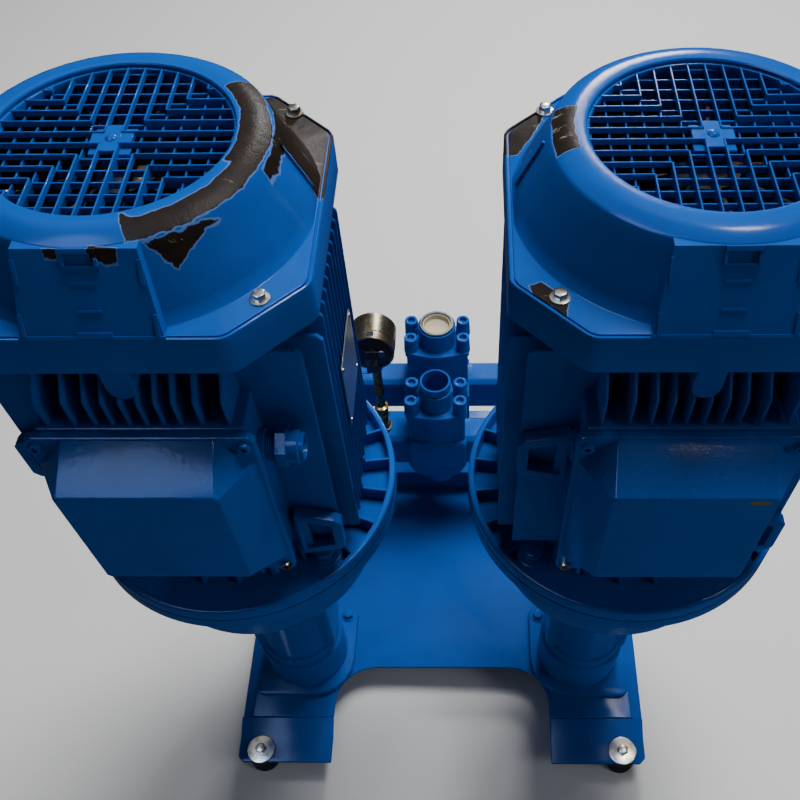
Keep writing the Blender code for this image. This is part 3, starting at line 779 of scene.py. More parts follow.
def eight_sided(angle, inset):
    """Distance from the axis to the cover's outline at an angle, with softened corners."""
    corner = hypot(COVER_HALF, COVER_FLAT) * cos(atan2(COVER_FLAT, COVER_HALF) - pi / 8) - 0.0012
    reach = 1.0
    for number in range(16):
        normal = number * pi / 8
        height = (COVER_HALF, corner, (COVER_HALF + COVER_FLAT) / sqrt(2), corner)[number % 4] - inset
        facing_it = cos(angle - normal)
        if facing_it > 0.3:
            reach = min(reach, height / facing_it)
    return reach


def cover_angles():
    angles = [2 * pi * step / 96 for step in range(96)]
    for quarter in range(4):
        for kink in (31.05, 32.35, 57.65, 58.95):
            angles.append(radians(90 * quarter + kink))
    return sorted(angles)


def cover_shell():
    """The fan cover in one shell: skirt, joint groove, deck, cone, crown and recess, then back inside."""
    angles = cover_angles()
    rings = []

    def outline(inset, height):
        rings.append([(eight_sided(a, inset) * cos(a), eight_sided(a, inset) * sin(a), height) for a in angles])

    def circle(radius, height):
        row = []
        for a in angles:
            reach = min(radius, eight_sided(a, 0.0046))
            row.append((reach * cos(a), reach * sin(a), height))
        rings.append(row)

    for inset, height in ((0.0006, 0.7890), (0.0, 0.7898), (0.0, 0.8184), (0.0006, 0.8196), (0.0014, 0.8200),
                          (0.0021, 0.8198), (0.0023, 0.8184), (0.0034, 0.8184), (0.0036, 0.8197),
                          (0.0042, 0.8200)):
        outline(inset, height)
    for radius, height in ((0.1284, 0.8200), (0.1272, 0.8208), (0.1228, 0.8300), (0.1177, 0.8400),
                           (0.1125, 0.8500), (0.1074, 0.8600), (0.1040, 0.8665), (0.1032, 0.8677),
                           (0.1022, 0.8684), (0.0965, 0.8718), (0.0925, 0.8730), (0.0890, 0.8735),
                           (0.0832, 0.8735), (0.0812, 0.8731), (0.0805, 0.8722), (0.0805, 0.8655),
                           (0.0794, 0.8650), (0.0794, 0.8602), (0.0840, 0.8602), (0.0840, 0.8690),
                           (0.0930, 0.8688), (0.0995, 0.8640), (0.1225, 0.8168)):
        circle(radius, height)
    for inset, height in ((0.0062, 0.8168), (0.0040, 0.8160), (0.0030, 0.8145), (0.0030, 0.7893),
                          (0.0024, 0.7890)):
        outline(inset, height)
    return rings


def cover_panel(form, place):
    """The flat panel that leans on the cone's front, with its latch, tabs and clip."""
    def block(half_low, half_high, front, back):
        return [(-half_low, front, 0.8194), (half_low, front, 0.8194), (half_low, back, 0.8194),
                (-half_low, back, 0.8194)]
    form.loft([block(0.0445, 0.0, -0.1286, -0.100),
               [(-0.0375, -0.1036, 0.8676), (0.0375, -0.1036, 0.8676), (0.0375, -0.090, 0.8676),
                (-0.0375, -0.090, 0.8676)]], place=place)
    lean = place @ PANEL_LEAN
    for low, high in (((-0.0085, 0.0512, -0.001), (0.0135, 0.0540, 0.0026)),
                      ((-0.0085, 0.0436, -0.001), (-0.0065, 0.0520, 0.0022)),
                      ((0.0115, 0.0436, -0.001), (0.0135, 0.0520, 0.0022)),
                      ((-0.0085, 0.0424, -0.001), (0.0135, 0.0440, 0.0012)),
                      ((-0.0060, 0.0327, -0.001), (0.0095, 0.0342, 0.0007)),
                      ((-0.0060, 0.0157, -0.001), (0.0095, 0.0172, 0.0007)),
                      ((-0.0085, 0.0002, -0.001), (0.0135, 0.0036, 0.0012)),
                      ((-0.0455, -0.0010, -0.001), (0.0455, 0.0012, 0.0007))):
        form.box(low, high, lean)
    for side in (-1, 1):
        for low, high in ((0.0328, 0.0474), (0.0006, 0.0147)):
            half = 0.0414 - low * 0.115
            form.box((side * half - 0.0012, low, -0.001), (side * half + 0.0012, high, 0.0010), lean)


def cover(side):
    form = Form()
    place = at_axis(side)
    form.loft(cover_shell(), ring_shaped=True, place=place)
    cover_panel(form, place)
    inner = -OUTWARD[side]
    turned = place @ Matrix.Rotation(radians(90 * inner), 4, "Z") @ PANEL_LEAN
    form.box((inner * 0.004 - 0.0010, 0.0110, -0.004), (inner * 0.004 + 0.0010, 0.0470, 0.0016), turned)
    make_piece(form, "cover_" + side, FINISHES["cover_" + side], stands_for=("fan_cover_" + side,),
               sharp=34)


def cover_bolts():
    spots = []
    turns = []
    for number, side in enumerate(SIDES):
        x, y = axis_of(side)
        for across, up in ((-0.0985, -0.0950), (0.0985, -0.0950), (0.0985, 0.1040), (-0.0985, 0.1040)):
            spots.append((x + across, y + up, 0.8199))
            turns.append((0.0, 0.0, 0.35 + 1.7 * len(spots)))
    pattern = hex_bolt(sizes().bolt_flats, 0.0046, 0.0068, 0.0014)
    copies_piece("cover_bolts", pattern, spots, turns, FINISHES["zinc"], slot="bare_steel", round_by=0.00025,
                 steps=1)


def grille_bars(name, finish):
    """Two levels of bars: tall ones in four quarters, and a finer net of lower ones all over."""
    size = sizes()
    growth = Growth(name, Bars=size.grille_bars, Pitch=size.grille_pitch, Width=size.bar_width,
                    Depth=size.bar_depth, Drop=size.cross_drop, Reach=0.0802, Finish=finish)
    given = growth.given
    start = growth.node("ShaderNodeCombineXYZ", None, {"X": given["Pitch"] * (given["Bars"] - 1) * -0.5})
    apart = growth.node("ShaderNodeCombineXYZ", None, {"X": given["Pitch"]})
    line = growth.node("GeometryNodeMeshLine", None, {"Count": given["Bars"], "Start Location": start,
                                                      "Offset": apart})
    place = growth.node("GeometryNodeInputPosition")
    across = growth.node("ShaderNodeSeparateXYZ", None, {0: place})
    size_x = across.run("ABSOLUTE", across)
    chord = (given["Reach"] * given["Reach"] - across * across).most(0.0).run_root()
    cube = growth.node("GeometryNodeMeshCube", None, {"Size": (1.0, 1.0, 1.0)})

    def bars(middle, long, depth, top):
        there = growth.node("ShaderNodeCombineXYZ", None, {"X": across, "Y": middle, "Z": top - depth * 0.5})
        spots = growth.node("GeometryNodeSetPosition", None, {"Geometry": line, "Position": there})
        scale = growth.node("ShaderNodeCombineXYZ", None, {"X": given["Width"], "Y": long, "Z": depth})
        return growth.node("GeometryNodeInstanceOnPoints", None, {"Points": spots, "Instance": cube,
                                                                  "Scale": scale})

    nothing = size_x * 0.0
    tall = bars((chord + size_x) * 0.5, (chord - size_x + given["Width"]).most(0.0), given["Depth"] + nothing,
                nothing)
    cross = bars(nothing, chord * 2.0, given["Depth"] - given["Drop"] + nothing, nothing - given["Drop"])
    sets = []
    for quarter in range(4):
        turned = growth.node("GeometryNodeTransform", None, {"Geometry": tall,
                                                             "Rotation": (0.0, 0.0, quarter * pi / 2)})
        sets.append(turned)
    for quarter in range(2):
        sets.append(growth.node("GeometryNodeTransform", None, {"Geometry": cross,
                                                                "Rotation": (0.0, 0.0, quarter * pi / 2)}))
    every = growth.node("GeometryNodeJoinGeometry", None, {0: sets})
    return growth.grow(every, points_mesh("none", []))


def grille(side):
    size = sizes()
    top = 0.8705
    mesh = grille_bars("grille_bars_" + side, FINISHES["grille"])
    place = at_axis(side)
    form = joined([(mesh, place @ Matrix.Translation((0.0, 0.0, top)))])
    half = 1.15 * size.grille_pitch
    low = top - size.bar_depth
    form.box((-half, -half, low), (half, half, top - size.cross_drop), place)
    rib = 0.5 * size.grille_pitch
    form.box((-rib, -half, low), (rib, half, top - 0.0008), place)
    form.box((-half, -rib, low), (half, rib, top - 0.0009), place)
    form.lathe([(0.0, top + 0.0012), (0.0024, top + 0.0008), (0.0042, top - 0.0006), (0.0046, top - 0.0020),
                (0.0, top - 0.0020)], 20, place)
    form.lathe([(0.0806, top - 0.0002), (0.0788, top - 0.0006), (0.0788, low), (0.0806, low)], 72, place,
               ring_shaped=True)
    make_piece(form, "grille_" + side, FINISHES["grille"], stands_for=("fan_grille_" + side,),
               round_by=0.00035, steps=1)


def fin(low, high, slanted=False):
    """One straight fin along +X, thinner at its tip: with a round top corner, or a slanted one."""
    form = Form()
    rings = []
    rows = [(0.080, 0.0050, 0.0, 0.0), (0.112, 0.0040, 0.0, 0.0), (0.1225, 0.0034, 0.0006, 0.0006),
            (0.1258, 0.0030, 0.0016, 0.0018), (0.1273, 0.0026, 0.0030, 0.0036), (0.1280, 0.0016, 0.0046, 0.0060)]
    if slanted:
        rows = [(0.080, 0.0044, 0.0, 0.0), (0.1040, 0.0036, 0.0, 0.0), (0.1052, 0.0035, 0.0, 0.0106),
                (0.1270, 0.0026, 0.0, 0.0294), (0.1280, 0.0016, 0.0, 0.0312)]
    for out, thick, lift, drop in rows:
        rings.append([(out, -0.5 * thick, low + lift), (out, 0.5 * thick, low + lift),
                      (out, 0.5 * thick, high - drop), (out, -0.5 * thick, high - drop)])
    form.loft(rings)
    return form


def corner_plate(form, place, out, depth, low, high):
    """A plate that fills a front corner of the stator, facing the front, with a round outer top corner."""
    plate = round_outline([(0.045, low), (out, low), (out, high - 0.004), (out - 0.004, high), (0.045, high)],
                          0.0015, 2)
    for mirror in (1, -1):
        turn = place @ Matrix.Scale(mirror, 4, Vector((1.0, 0.0, 0.0)))
        outline = plate if mirror == 1 else [(-a, b) for a, b in reversed(plate)]
        form.prism(outline, depth - 0.0022, depth + 0.0022, place @ ALONG_Y)


def stator(side):
    """Core, end shields, corner plates and the four groups of cooling fins."""
    size = sizes()
    low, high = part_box("motor_frame_" + side)
    bottom = low[2]
    under_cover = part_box("fan_cover_" + side)[0][2] - 0.0006
    fin_top = 0.7730
    box_low, box_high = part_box("terminal_box_" + side)
    place = at_axis(side)
    finish = FINISHES["cast"]
    whole = row_of("fins_" + side, fin(bottom, fin_top), size.fin_count, size.fin_pitch, finish)
    above = [row_of("upper_fins_%s_%d" % (side, count), fin(box_high[2] + 0.001, under_cover, True), count,
                    pitch, finish) for count, pitch in ((6, 0.0120), (2, 0.0895), (2, 0.1280))]
    below = row_of("lower_fins_" + side, fin(bottom, box_low[2] - 0.001), size.fin_count, size.fin_pitch,
                   finish)
    quarter = [place @ Matrix.Rotation(radians(90 * number), 4, "Z") for number in range(4)]
    form = joined([(whole, quarter[0]), (whole, quarter[1]), (whole, quarter[2]), (below, quarter[3]),
                   *((row, quarter[3]) for row in above)])
    form.lathe([(0.0, bottom), (0.1085, bottom), (0.1100, bottom + 0.002), (0.1100, bottom + 0.016),
                (0.1080, bottom + 0.019), (0.1050, bottom + 0.020), (0.1050, under_cover - 0.020),
                (0.1080, under_cover - 0.018), (0.1090, under_cover), (0.0, under_cover)], 96, place)
    seat = round_outline(rectangle((-0.066, box_low[2] + 0.006), (0.066, box_high[2] - 0.006)), 0.008)
    form.prism(seat, -0.0935, -0.060, place @ ALONG_Y)
    tongue = [(0.0100, 0.789), (-0.0100, 0.789), (-0.0100, 0.7705)]
    tongue += [(-0.0100 * cos(pi * k / 12), 0.7705 - 0.0100 * sin(pi * k / 12)) for k in range(1, 12)]
    tongue += [(0.0100, 0.7705)]
    form.prism(tongue, -0.1270, -0.1000, place @ ALONG_Y)
    corner_plate(form, place, 0.1157, -0.0912, bottom + 0.004, fin_top - 0.002)
    corner_plate(form, place, 0.1285, -0.0740, bottom + 0.004, fin_top - 0.006)
    for angle in (45, 135, 225, 315):
        turn = place @ Matrix.Rotation(radians(angle), 4, "Z")
        form.prism(rectangle((0.095, -0.0100), (0.143, 0.0100)), under_cover - 0.003, under_cover + 0.020, turn)
    make_piece(form, "stator_" + side, finish, stands_for=("motor_frame_" + side,), round_by=0.0008,
               steps=1, sharp=36)


def flange(side):
    size = sizes()
    low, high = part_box("motor_flange_" + side)
    x, y = axis_of(side)
    radius = 0.5 * (high[0] - low[0])
    bottom = low[2]
    rim = 0.496
    pocket = rim - 0.0200
    place = at_axis(side)
    rib = Form()
    rib.loft([[(out, -thick, rim - 0.002), (out, thick, rim - 0.002), (out, thick - 0.0005, height),
               (out, 0.0005 - thick, height)]
              for out, thick, height in ((0.1050, 0.0030, 0.5230), (0.1110, 0.0028, 0.5190),
                                         (0.1245, 0.0024, 0.5010), (0.1262, 0.0016, 0.4985))])
    ribs = ring_of("flange_ribs_" + side, rib, size.flange_ribs, FINISHES["cast"])
    bar = Form()
    bar.loft([[(out, -0.0020, pocket - 0.002), (out, 0.0020, pocket - 0.002), (out, 0.0014, rim - 0.0008),
               (out, -0.0014, rim - 0.0008)] for out in (0.1180, radius - 0.0058)])
    bars = ring_of("flange_bars_" + side, bar, size.flange_ribs, FINISHES["cast"])
    form = joined([(ribs, place), (bars, place)])
    form.lathe([(0.0, high[2]), (0.1110, high[2]), (0.1130, high[2] - 0.001), (0.1150, high[2] - 0.005),
                (0.1190, pocket + 0.001), (0.1200, pocket), (radius - 0.0080, pocket),
                (radius - 0.0070, pocket + 0.001), (radius - 0.0062, rim - 0.0010), (radius - 0.0054, rim),
                (radius - 0.0012, rim - 0.0004), (radius, rim - 0.0016), (radius, bottom + 0.0012),
                (radius - 0.0012, bottom), (0.0, bottom)], 128, place)
    sector = [radians(222 + 96 * step / 40) for step in range(41)]
    cheek = [(0.112 * cos(a), 0.112 * sin(a)) for a in reversed(sector)]
    cheek = [((radius - 0.0050) * cos(a), (radius - 0.0050) * sin(a)) for a in sector] + cheek
    form.prism(cheek, pocket - 0.001, rim - 0.0002, place)
    for angle in (45, 135, 225, 315):
        spot = place @ Matrix.Rotation(radians(angle), 4, "Z") @ Matrix.Translation((0.1325, 0.0, 0.0))
        form.lathe([(0.0, pocket - 0.001), (0.0165, pocket - 0.001), (0.0160, rim + 0.0006), (0.0152, rim + 0.0014),
                    (0.0, rim + 0.0014)], 36, spot)
    make_piece(form, "flange_" + side, FINISHES["cast"], stands_for=("motor_flange_" + side,),
               round_by=0.0007, steps=1)
    spots = [(x + 0.1325 * cos(radians(a)), y + 0.1325 * sin(radians(a)), rim + 0.0012)
             for a in (45, 135, 225, 315)]
    bolt = hex_bolt(size.flange_bolt_flats, 0.0078, 0.0120, 0.0022)
    copies_piece("flange_bolts_" + side, bolt, spots, [(0.0, 0.0, 0.4 * k) for k in range(4)],
                 FINISHES["cast"], round_by=0.0004, steps=1)


def terminal_box(side):
    polished("terminal_box_" + side, FINISHES["cast"], round_by=0.0022, steps=3)


def lid(side):
    """A rim with a raised hood: sloping sides and a facet at each corner. Its lettering is left bare."""
    low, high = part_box("terminal_lid_" + side)
    x, y = axis_of(side)
    rim_front = y - 0.1385
    form = Form()
    rim = round_outline(rectangle((low[0], low[2]), (high[0], high[2])), 0.007)
    smaller = round_outline(rectangle((low[0] + 0.0012, low[2] + 0.0012), (high[0] - 0.0012, high[2] - 0.0012)),
                            0.006)
    form.loft([[(a, high[1], b) for a, b in smaller], [(a, high[1] - 0.0012, b) for a, b in rim],
               [(a, rim_front + 0.0016, b) for a, b in rim], [(a, rim_front, b) for a, b in smaller]])

    def eight(half, top, bottom, facet, depth):
        flat = [(half, bottom + facet), (half, top - facet), (half - facet, top), (facet - half, top),
                (-half, top - facet), (-half, bottom + facet), (facet - half, bottom), (half - facet, bottom)]
        return [(x + a, depth, b) for a, b in flat]

    front = low[1]
    form.loft([eight(0.0780, high[2] - 0.001, low[2] + 0.001, 0.0245, rim_front + 0.003),
               eight(0.0778, high[2] - 0.0012, low[2] + 0.0012, 0.0244, rim_front - 0.0006),
               eight(0.0578, 0.7122, 0.5998, 0.0024, front + 0.0008), eight(0.0565, 0.7108, 0.6012, 0.0018, front)])
    make_piece(form, "lid_" + side, FINISHES["lid"], stands_for=("terminal_lid_" + side,), round_by=0.0012,
               steps=3, sharp=30)


def lid_screws():
    """Socket screws in the corner lands: the upper ones painted over, the lower ones bare."""
    for level, up, finish, slot in (("upper", 0.7235, FINISHES["cast"], "blue_enamel"),
                                    ("lower", 0.5565, FINISHES["zinc"], "bare_steel")):
        spots = [(axis_of(side)[0] + across, axis_of(side)[1] - 0.1383, up)
                 for side in SIDES for across in (-0.0735, 0.0735)]
        turns = [facing((0.0, -1.0, 0.0), 0.7 * k) for k in range(len(spots))]
        copies_piece("lid_screws_" + level, socket_screw(0.0046, 0.0040, 0.0021), spots, turns, finish,
                     slot=slot)


def gland(side):
    """Collar, thread, hexagon and neck with an open bore, and a blind plug on the box's other side."""
    low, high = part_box("cable_gland_" + side)
    middle = Vector((low[0], 0.5 * (low[1] + high[1]), 0.5 * (low[2] + high[2])))
    place = lying(middle, (1.0, 0.0, 0.0))
    radius = 0.0135
    form = Form()
    profile = [(0.0085, 0.0), (radius + 0.0004, 0.0), (radius + 0.0004, 0.0044), (radius - 0.0002, 0.0050),
               (radius - 0.0014, 0.0051)]
    for number in range(5):
        start = 0.0054 + number * 0.0015
        profile += [(radius - 0.0008, start), (radius - 0.0018, start + 0.0008)]
    profile += [(radius - 0.0016, 0.0130), (radius, 0.0216), (radius, 0.0292), (radius - 0.0008, 0.0300),
                (radius - 0.0026, 0.0302), (radius - 0.0026, 0.0328), (radius - 0.0034, 0.0335),
                (0.0088, 0.0335), (0.0085, 0.0330)]
    form.lathe(profile, 48, place, ring_shaped=True)
    ring = hexagon(0.0272, pi / 6)
    form.loft([[(a * share, b * share, z) for a, b in ring]
               for share, z in ((0.95, 0.0126), (1.0, 0.0134), (1.0, 0.0208), (0.95, 0.0216))], place=place)
    make_piece(form, "gland_" + side, FINISHES["cast"], stands_for=("cable_gland_" + side,), sharp=35)
    form = Form()
    form.lathe([(0.0, 0.0), (0.0135, 0.0), (0.0135, 0.0022), (0.0122, 0.0030), (0.0122, 0.0048), (0.0108, 0.0058),
                (0.0080, 0.0060), (0.0072, 0.0052), (0.0, 0.0052)], 48,
               lying((2 * axis_of(side)[0] - low[0], middle.y, middle.z), (-1.0, 0.0, 0.0)))
    make_piece(form, "side_plug_" + side, FINISHES["cast"], sharp=35)


def eyes(side):
    for end in ("upper", "lower"):
        polished("lifting_eye_%s_%s" % (end, side), FINISHES["cast"], round_by=0.0022, steps=3)


def nameplate(side):
    polished("nameplate_" + side, FINISHES["plate"], slot="bare_steel", round_by=0.0002, steps=1)
    low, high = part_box("nameplate_" + side)
    spots = [(high[0] - 0.0002, y, z) for y in (low[1] + 0.005, high[1] - 0.005)
             for z in (low[2] + 0.005, high[2] - 0.005)]
    rivet = Form()
    rivet.lathe([(0.0, 0.0), (0.0021, 0.0), (0.0019, 0.0007), (0.0011, 0.0012), (0.0, 0.0013)], 16)
    copies_piece("plate_rivets_" + side, rivet, spots, [facing((1.0, 0.0, 0.0))] * 4, FINISHES["zinc"],
                 slot="bare_steel")


def bell(side):
    low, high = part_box("bell_housing_" + side)
    radius = 0.5 * (high[0] - low[0])
    top = high[2]
    bottom = low[2]
    form = Form()
    form.lathe([(0.0, top), (radius - 0.0012, top), (radius, top - 0.0012), (radius, top - 0.0145),
                (radius - 0.0020, top - 0.0165), (0.1320, top - 0.0185), (0.1275, top - 0.0215),
                (0.1250, top - 0.0340), (0.1250, bottom + 0.0110), (0.1235, bottom + 0.0060),
                (0.1160, bottom + 0.0005), (0.1140, bottom), (0.0, bottom)], 128, at_axis(side))
    make_piece(form, "bell_" + side, FINISHES["cast"], stands_for=("bell_housing_" + side,))


def pump(side):
    """Screw pump casing: head ring, barrel with two flat sides, lower ring and base, and two port bosses."""
    low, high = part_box("pump_body_" + side)
    top = high[2]
    bottom = low[2]
    place = at_axis(side)
    form = Form()
    form.lathe([(0.0, top), (0.0540, top), (0.0540, top - 0.0130), (0.0525, top - 0.0150), (0.0500, top - 0.0160),
                (0.0480, 0.1435), (0.0490, 0.1405), (0.0515, 0.1390), (0.0520, 0.1380), (0.0520, 0.1265),
                (0.0530, 0.1235), (0.0560, 0.1215), (0.0565, 0.1200), (0.0565, bottom), (0.0, bottom)],
               96, place)
    back = 0.0585
    for height, radius in ((0.1945, 0.031), (0.129, 0.029)):
        form.lathe([(0.0, 0.0), (radius - 0.003, 0.0), (radius - 0.003, back - 0.012), (radius, back - 0.011),
                    (radius, back - 0.0008), (radius - 0.0008, back), (0.0, back)], 48,
                   place @ lying((0.0, 0.0, height), (0.0, 1.0, 0.0)))
    flat = round_outline(rectangle((-0.0525, -0.0300), (0.0525, 0.0300)), 0.0060)
    form.prism(flat, 0.1412, top - 0.0124, place)
    make_piece(form, "pump_" + side, FINISHES["cast"], stands_for=("pump_body_" + side,), round_by=0.0008,
               steps=1)
    polished("pump_foot_" + side, FINISHES["cast"], round_by=0.0015, steps=2)
    polished("discharge_pipe_" + side, FINISHES["cast"], round_by=0.0010, steps=1, sharp=30)
    polished("suction_pipe_" + side, FINISHES["cast"], round_by=0.0010, steps=1, sharp=30)


def fan(side):
    finish_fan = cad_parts["cooling_fan_" + side]
    finish_fan.data.materials.clear()
    finish_fan.data.materials.append(FINISHES["fan"])


def base_sheets():
    """Deck, joggled feet and rear shelf, each from its frame solid with rounded bends."""
    polished("base_deck", FINISHES["sheet"], round_by=0.0016, steps=3)
    polished("rear_shelf", FINISHES["sheet"], round_by=0.0030, steps=3)
    for end, _ in ENDS:
        for side in SIDES:
            polished("foot_%s_%s" % (end, side), FINISHES["sheet"], round_by=0.0014, steps=2)


def rubber_mount(end, side):
    node = "rubber_mount_%s_%s" % (end, side)
    low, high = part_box(node)
    middle = Matrix.Translation((0.5 * (low[0] + high[0]), 0.5 * (low[1] + high[1]), 0.0))
    top = high[2]
    form = Form()
    form.lathe([(0.0, top), (0.0188, top), (0.0200, top - 0.0012), (0.0200, top - 0.0050), (0.0188, top - 0.0068),
                (0.0166, 0.6 * top), (0.0166, 0.4 * top), (0.0188, 0.0072), (0.0200, 0.0054), (0.0200, 0.0012),
                (0.0188, 0.0), (0.0, 0.0)], 56, middle)
    make_piece(form, "mount_%s_%s" % (end, side), FINISHES["rubber"], stands_for=(node,),
               slot="black_rubber")


def base_fasteners():
    """Mount bolts on the feet, and the foot bolts of the pumps with their washers."""
    spots = []
    for end, _ in ENDS:
        for side in SIDES:
            low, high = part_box("rubber_mount_%s_%s" % (end, side))
            tab_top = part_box("foot_%s_%s" % (end, side))[0][2] + 0.004
            spots.append((0.5 * (low[0] + high[0]), 0.5 * (low[1] + high[1]), tab_top))
    turns = [(0.0, 0.0, 0.5 * k) for k in range(len(spots))]
    copies_piece("mount_bolts", hex_bolt(0.0125, 0.0070, 0.01925, 0.0026), spots, turns, FINISHES["zinc"],
                 slot="bare_steel", round_by=0.0004, steps=1)
    spots = []
    for side in SIDES:
        low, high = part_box("pump_foot_" + side)
        for x in (low[0] + 0.013, high[0] - 0.013):
            spots.append((x, high[1] - 0.013, high[2] - 0.0002))
    turns = [(0.0, 0.0, 0.5 * k) for k in range(len(spots))]
    copies_piece("foot_bolts", hex_bolt(0.013, 0.0068, 0.0105, 0.0020), spots, turns, FINISHES["cast"],
                 round_by=0.0004, steps=1)


def arrow(length, width):
    """A flat arrow that points along +X."""
    half = 0.5 * width
    shaft = 0.36 * half
    neck = length * 0.08
    return [(-0.5 * length, -shaft), (neck, -shaft), (neck, -half), (0.5 * length, 0.0), (neck, half),
            (neck, shaft), (-0.5 * length, shaft)]


def port_block(kind):
    """A manifold block with its arms, screw towers and bulging flange plate round the tube's foot."""
    low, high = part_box(kind + "_manifold")
    tube_low, tube_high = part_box(kind + "_port")
    x = 0.5 * (tube_low[0] + tube_high[0])
    y = 0.5 * (tube_low[1] + tube_high[1])
    tube = 0.5 * (tube_high[0] - tube_low[0])
    top = high[2]
    arm_low = 0.1655
    arm_top = 0.2235
    outer = kind == "discharge"
    half_x, half_y = (0.0425, 0.0255) if outer else (0.0465, 0.0275)
    bulge = 0.0065 if outer else 0.0085
    place = Matrix.Translation((x, y, 0.0))
    form = Form()
    lip = top + 0.0040

    def outline(inset):
        wide = half_x - inset
        front = [(-wide + 2 * wide * k / 12, -half_y + inset - bulge * sin(pi * k / 12) ** 1.5) for k in range(13)]
        return round_outline([(wide, half_y - inset), (-wide, half_y - inset)] + front, 0.0045, 3)

    form.loft([[(a, b, arm_low + 0.002) for a, b in outline(0.0022)], [(a, b, lip - 0.0110) for a, b in outline(0.0022)],
               [(a, b, lip - 0.0070) for a, b in outline(0.0004)], [(a, b, lip - 0.0012) for a, b in outline(0.0)],
               [(a, b, lip) for a, b in outline(0.0012)]], place=place)
    screw_x, screw_y, screw_top = (0.0335, 0.0163, 0.3033) if outer else (0.0372, 0.0170, 0.3137)
    radius = 0.5 * sizes().screw_head
    for across in (-screw_x, screw_x):
        for up in (-screw_y, screw_y):
            form.lathe([(0.0, lip - 0.004), (radius + 0.0010, lip - 0.004), (radius + 0.0004, screw_top - 0.0100),
                        (0.0, screw_top - 0.0100)], 32, place @ Matrix.Translation((across, up, 0.0)))
    collar = tube + 0.0022
    rise = 0.3110 if outer else 0.3212
    form.lathe([(tube - 0.001, lip - 0.003), (collar + 0.0020, lip - 0.002), (collar, lip + 0.0020),
                (collar, rise - 0.0010), (collar - 0.0008, rise), (tube - 0.001, rise)],
               64, place, ring_shaped=True)
    arm = round_outline([(-0.0220, arm_low), (0.0220, arm_low), (0.0220, arm_top - 0.006),
                         (0.0160, arm_top), (-0.0160, arm_top), (-0.0220, arm_top - 0.006)], 0.0035, 3)
    ends = [(low[0], high[0])]
    for first, last in ends:
        form.loft([[(first - x, a, b) for a, b in arm], [(last - x, a, b) for a, b in arm]], place=place)
    body = round_outline(rectangle((-half_x, -half_y - bulge), (half_x, half_y + 0.003)), 0.006)
    form.loft([[(a * 0.965, b * 0.965, arm_low + 0.0005) for a, b in body],
               [(a, b, arm_low + 0.006) for a, b in body], [(a, b, arm_top - 0.004) for a, b in body],
               [(a * 0.94, b * 0.94, arm_top + 0.001) for a, b in body]], place=place)
    if outer:
        belly = round_outline([(-half_x + 0.001, arm_low + 0.003), (-half_x + 0.016, low[2] + 0.030),
                               (half_x - 0.016, low[2] + 0.030), (half_x - 0.001, arm_low + 0.003)], 0.003, 2)
        form.prism(belly, -0.031, 0.028, place @ ALONG_Y)
        form.lathe([(0.0, low[2]), (0.0215, low[2]), (0.0235, low[2] + 0.002), (0.0240, low[2] + 0.032),
                    (0.0, low[2] + 0.032)], 40, place)
    else:
        strip = round_outline(rectangle((-half_x, arm_low + 0.001), (half_x, arm_top - 0.001)), 0.004, 3)
        form.prism(strip, -0.0478, -0.032, place @ ALONG_Y)
    make_piece(form, kind + "_block", FINISHES["cast"], stands_for=(kind + "_manifold",), round_by=0.0014,
               steps=2, sharp=38)
    marks = Form()
    for side in (-1, 1):
        way = side if kind == "suction" else -side
        middle = x + side * 0.135
        turn = Matrix.Translation((middle, y, 0.0)) @ Matrix.Rotation(0.0 if way > 0 else pi, 4, "Z")
        marks.prism(arrow(0.062, 0.026), arm_top - 0.001, arm_top + 0.0014, turn)
        skin_low, skin_high = sorted((side * (half_x + 0.004), side * 0.190))
        skin = round_outline(rectangle((skin_low, -0.0155), (skin_high, 0.0155)), 0.003, 2)
        marks.prism(skin, arm_top - 0.002, arm_top + 0.0003, place)
    make_piece(marks, kind + "_arrows", FINISHES["rough_cast"], round_by=0.0005, steps=1)
    spots = [(x + sx * screw_x, y + sy * screw_y, screw_top - 0.0101) for sx in (-1, 1) for sy in (-1, 1)]
    copies_piece(kind + "_screws", socket_screw(radius, 0.0101, 0.0050), spots,
                 [(0.0, 0.0, 0.6 * k) for k in range(4)], FINISHES["cast"], round_by=0.0005, steps=2)


def port_tube(kind):
    low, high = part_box(kind + "_port")
    place = Matrix.Translation((0.5 * (low[0] + high[0]), 0.5 * (low[1] + high[1]), 0.0))
    outer = 0.5 * (high[0] - low[0])
    inner = 0.0178 if kind == "discharge" else 0.0205
    top = high[2]
    form = Form()
    form.lathe([(inner, low[2]), (outer, low[2]), (outer, top - 0.0008), (outer - 0.0008, top),
                (inner + 0.0006, top), (inner, top - 0.0006)], 72, place, ring_shaped=True)
    finish = FINISHES["sheet"] if kind == "discharge" else FINISHES["bare_tube"]
    make_piece(form, kind + "_tube", finish, stands_for=(kind + "_port",))


def cap():
    low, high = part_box("suction_cap")
    place = Matrix.Translation((0.5 * (low[0] + high[0]), 0.5 * (low[1] + high[1]), 0.0))
    radius = 0.5 * (high[0] - low[0])
    form = Form()
    form.lathe([(0.0, low[2]), (radius, low[2]), (radius, high[2] + 0.0070), (radius - 0.0016, high[2] + 0.0072),
                (radius - 0.0024, high[2] + 0.0004), (radius - 0.0060, high[2] - 0.0008), (0.0, high[2] - 0.0012)],
               56, place)
    make_piece(form, "port_cap", FINISHES["cap"], stands_for=("suction_cap",), slot="beige_plastic")


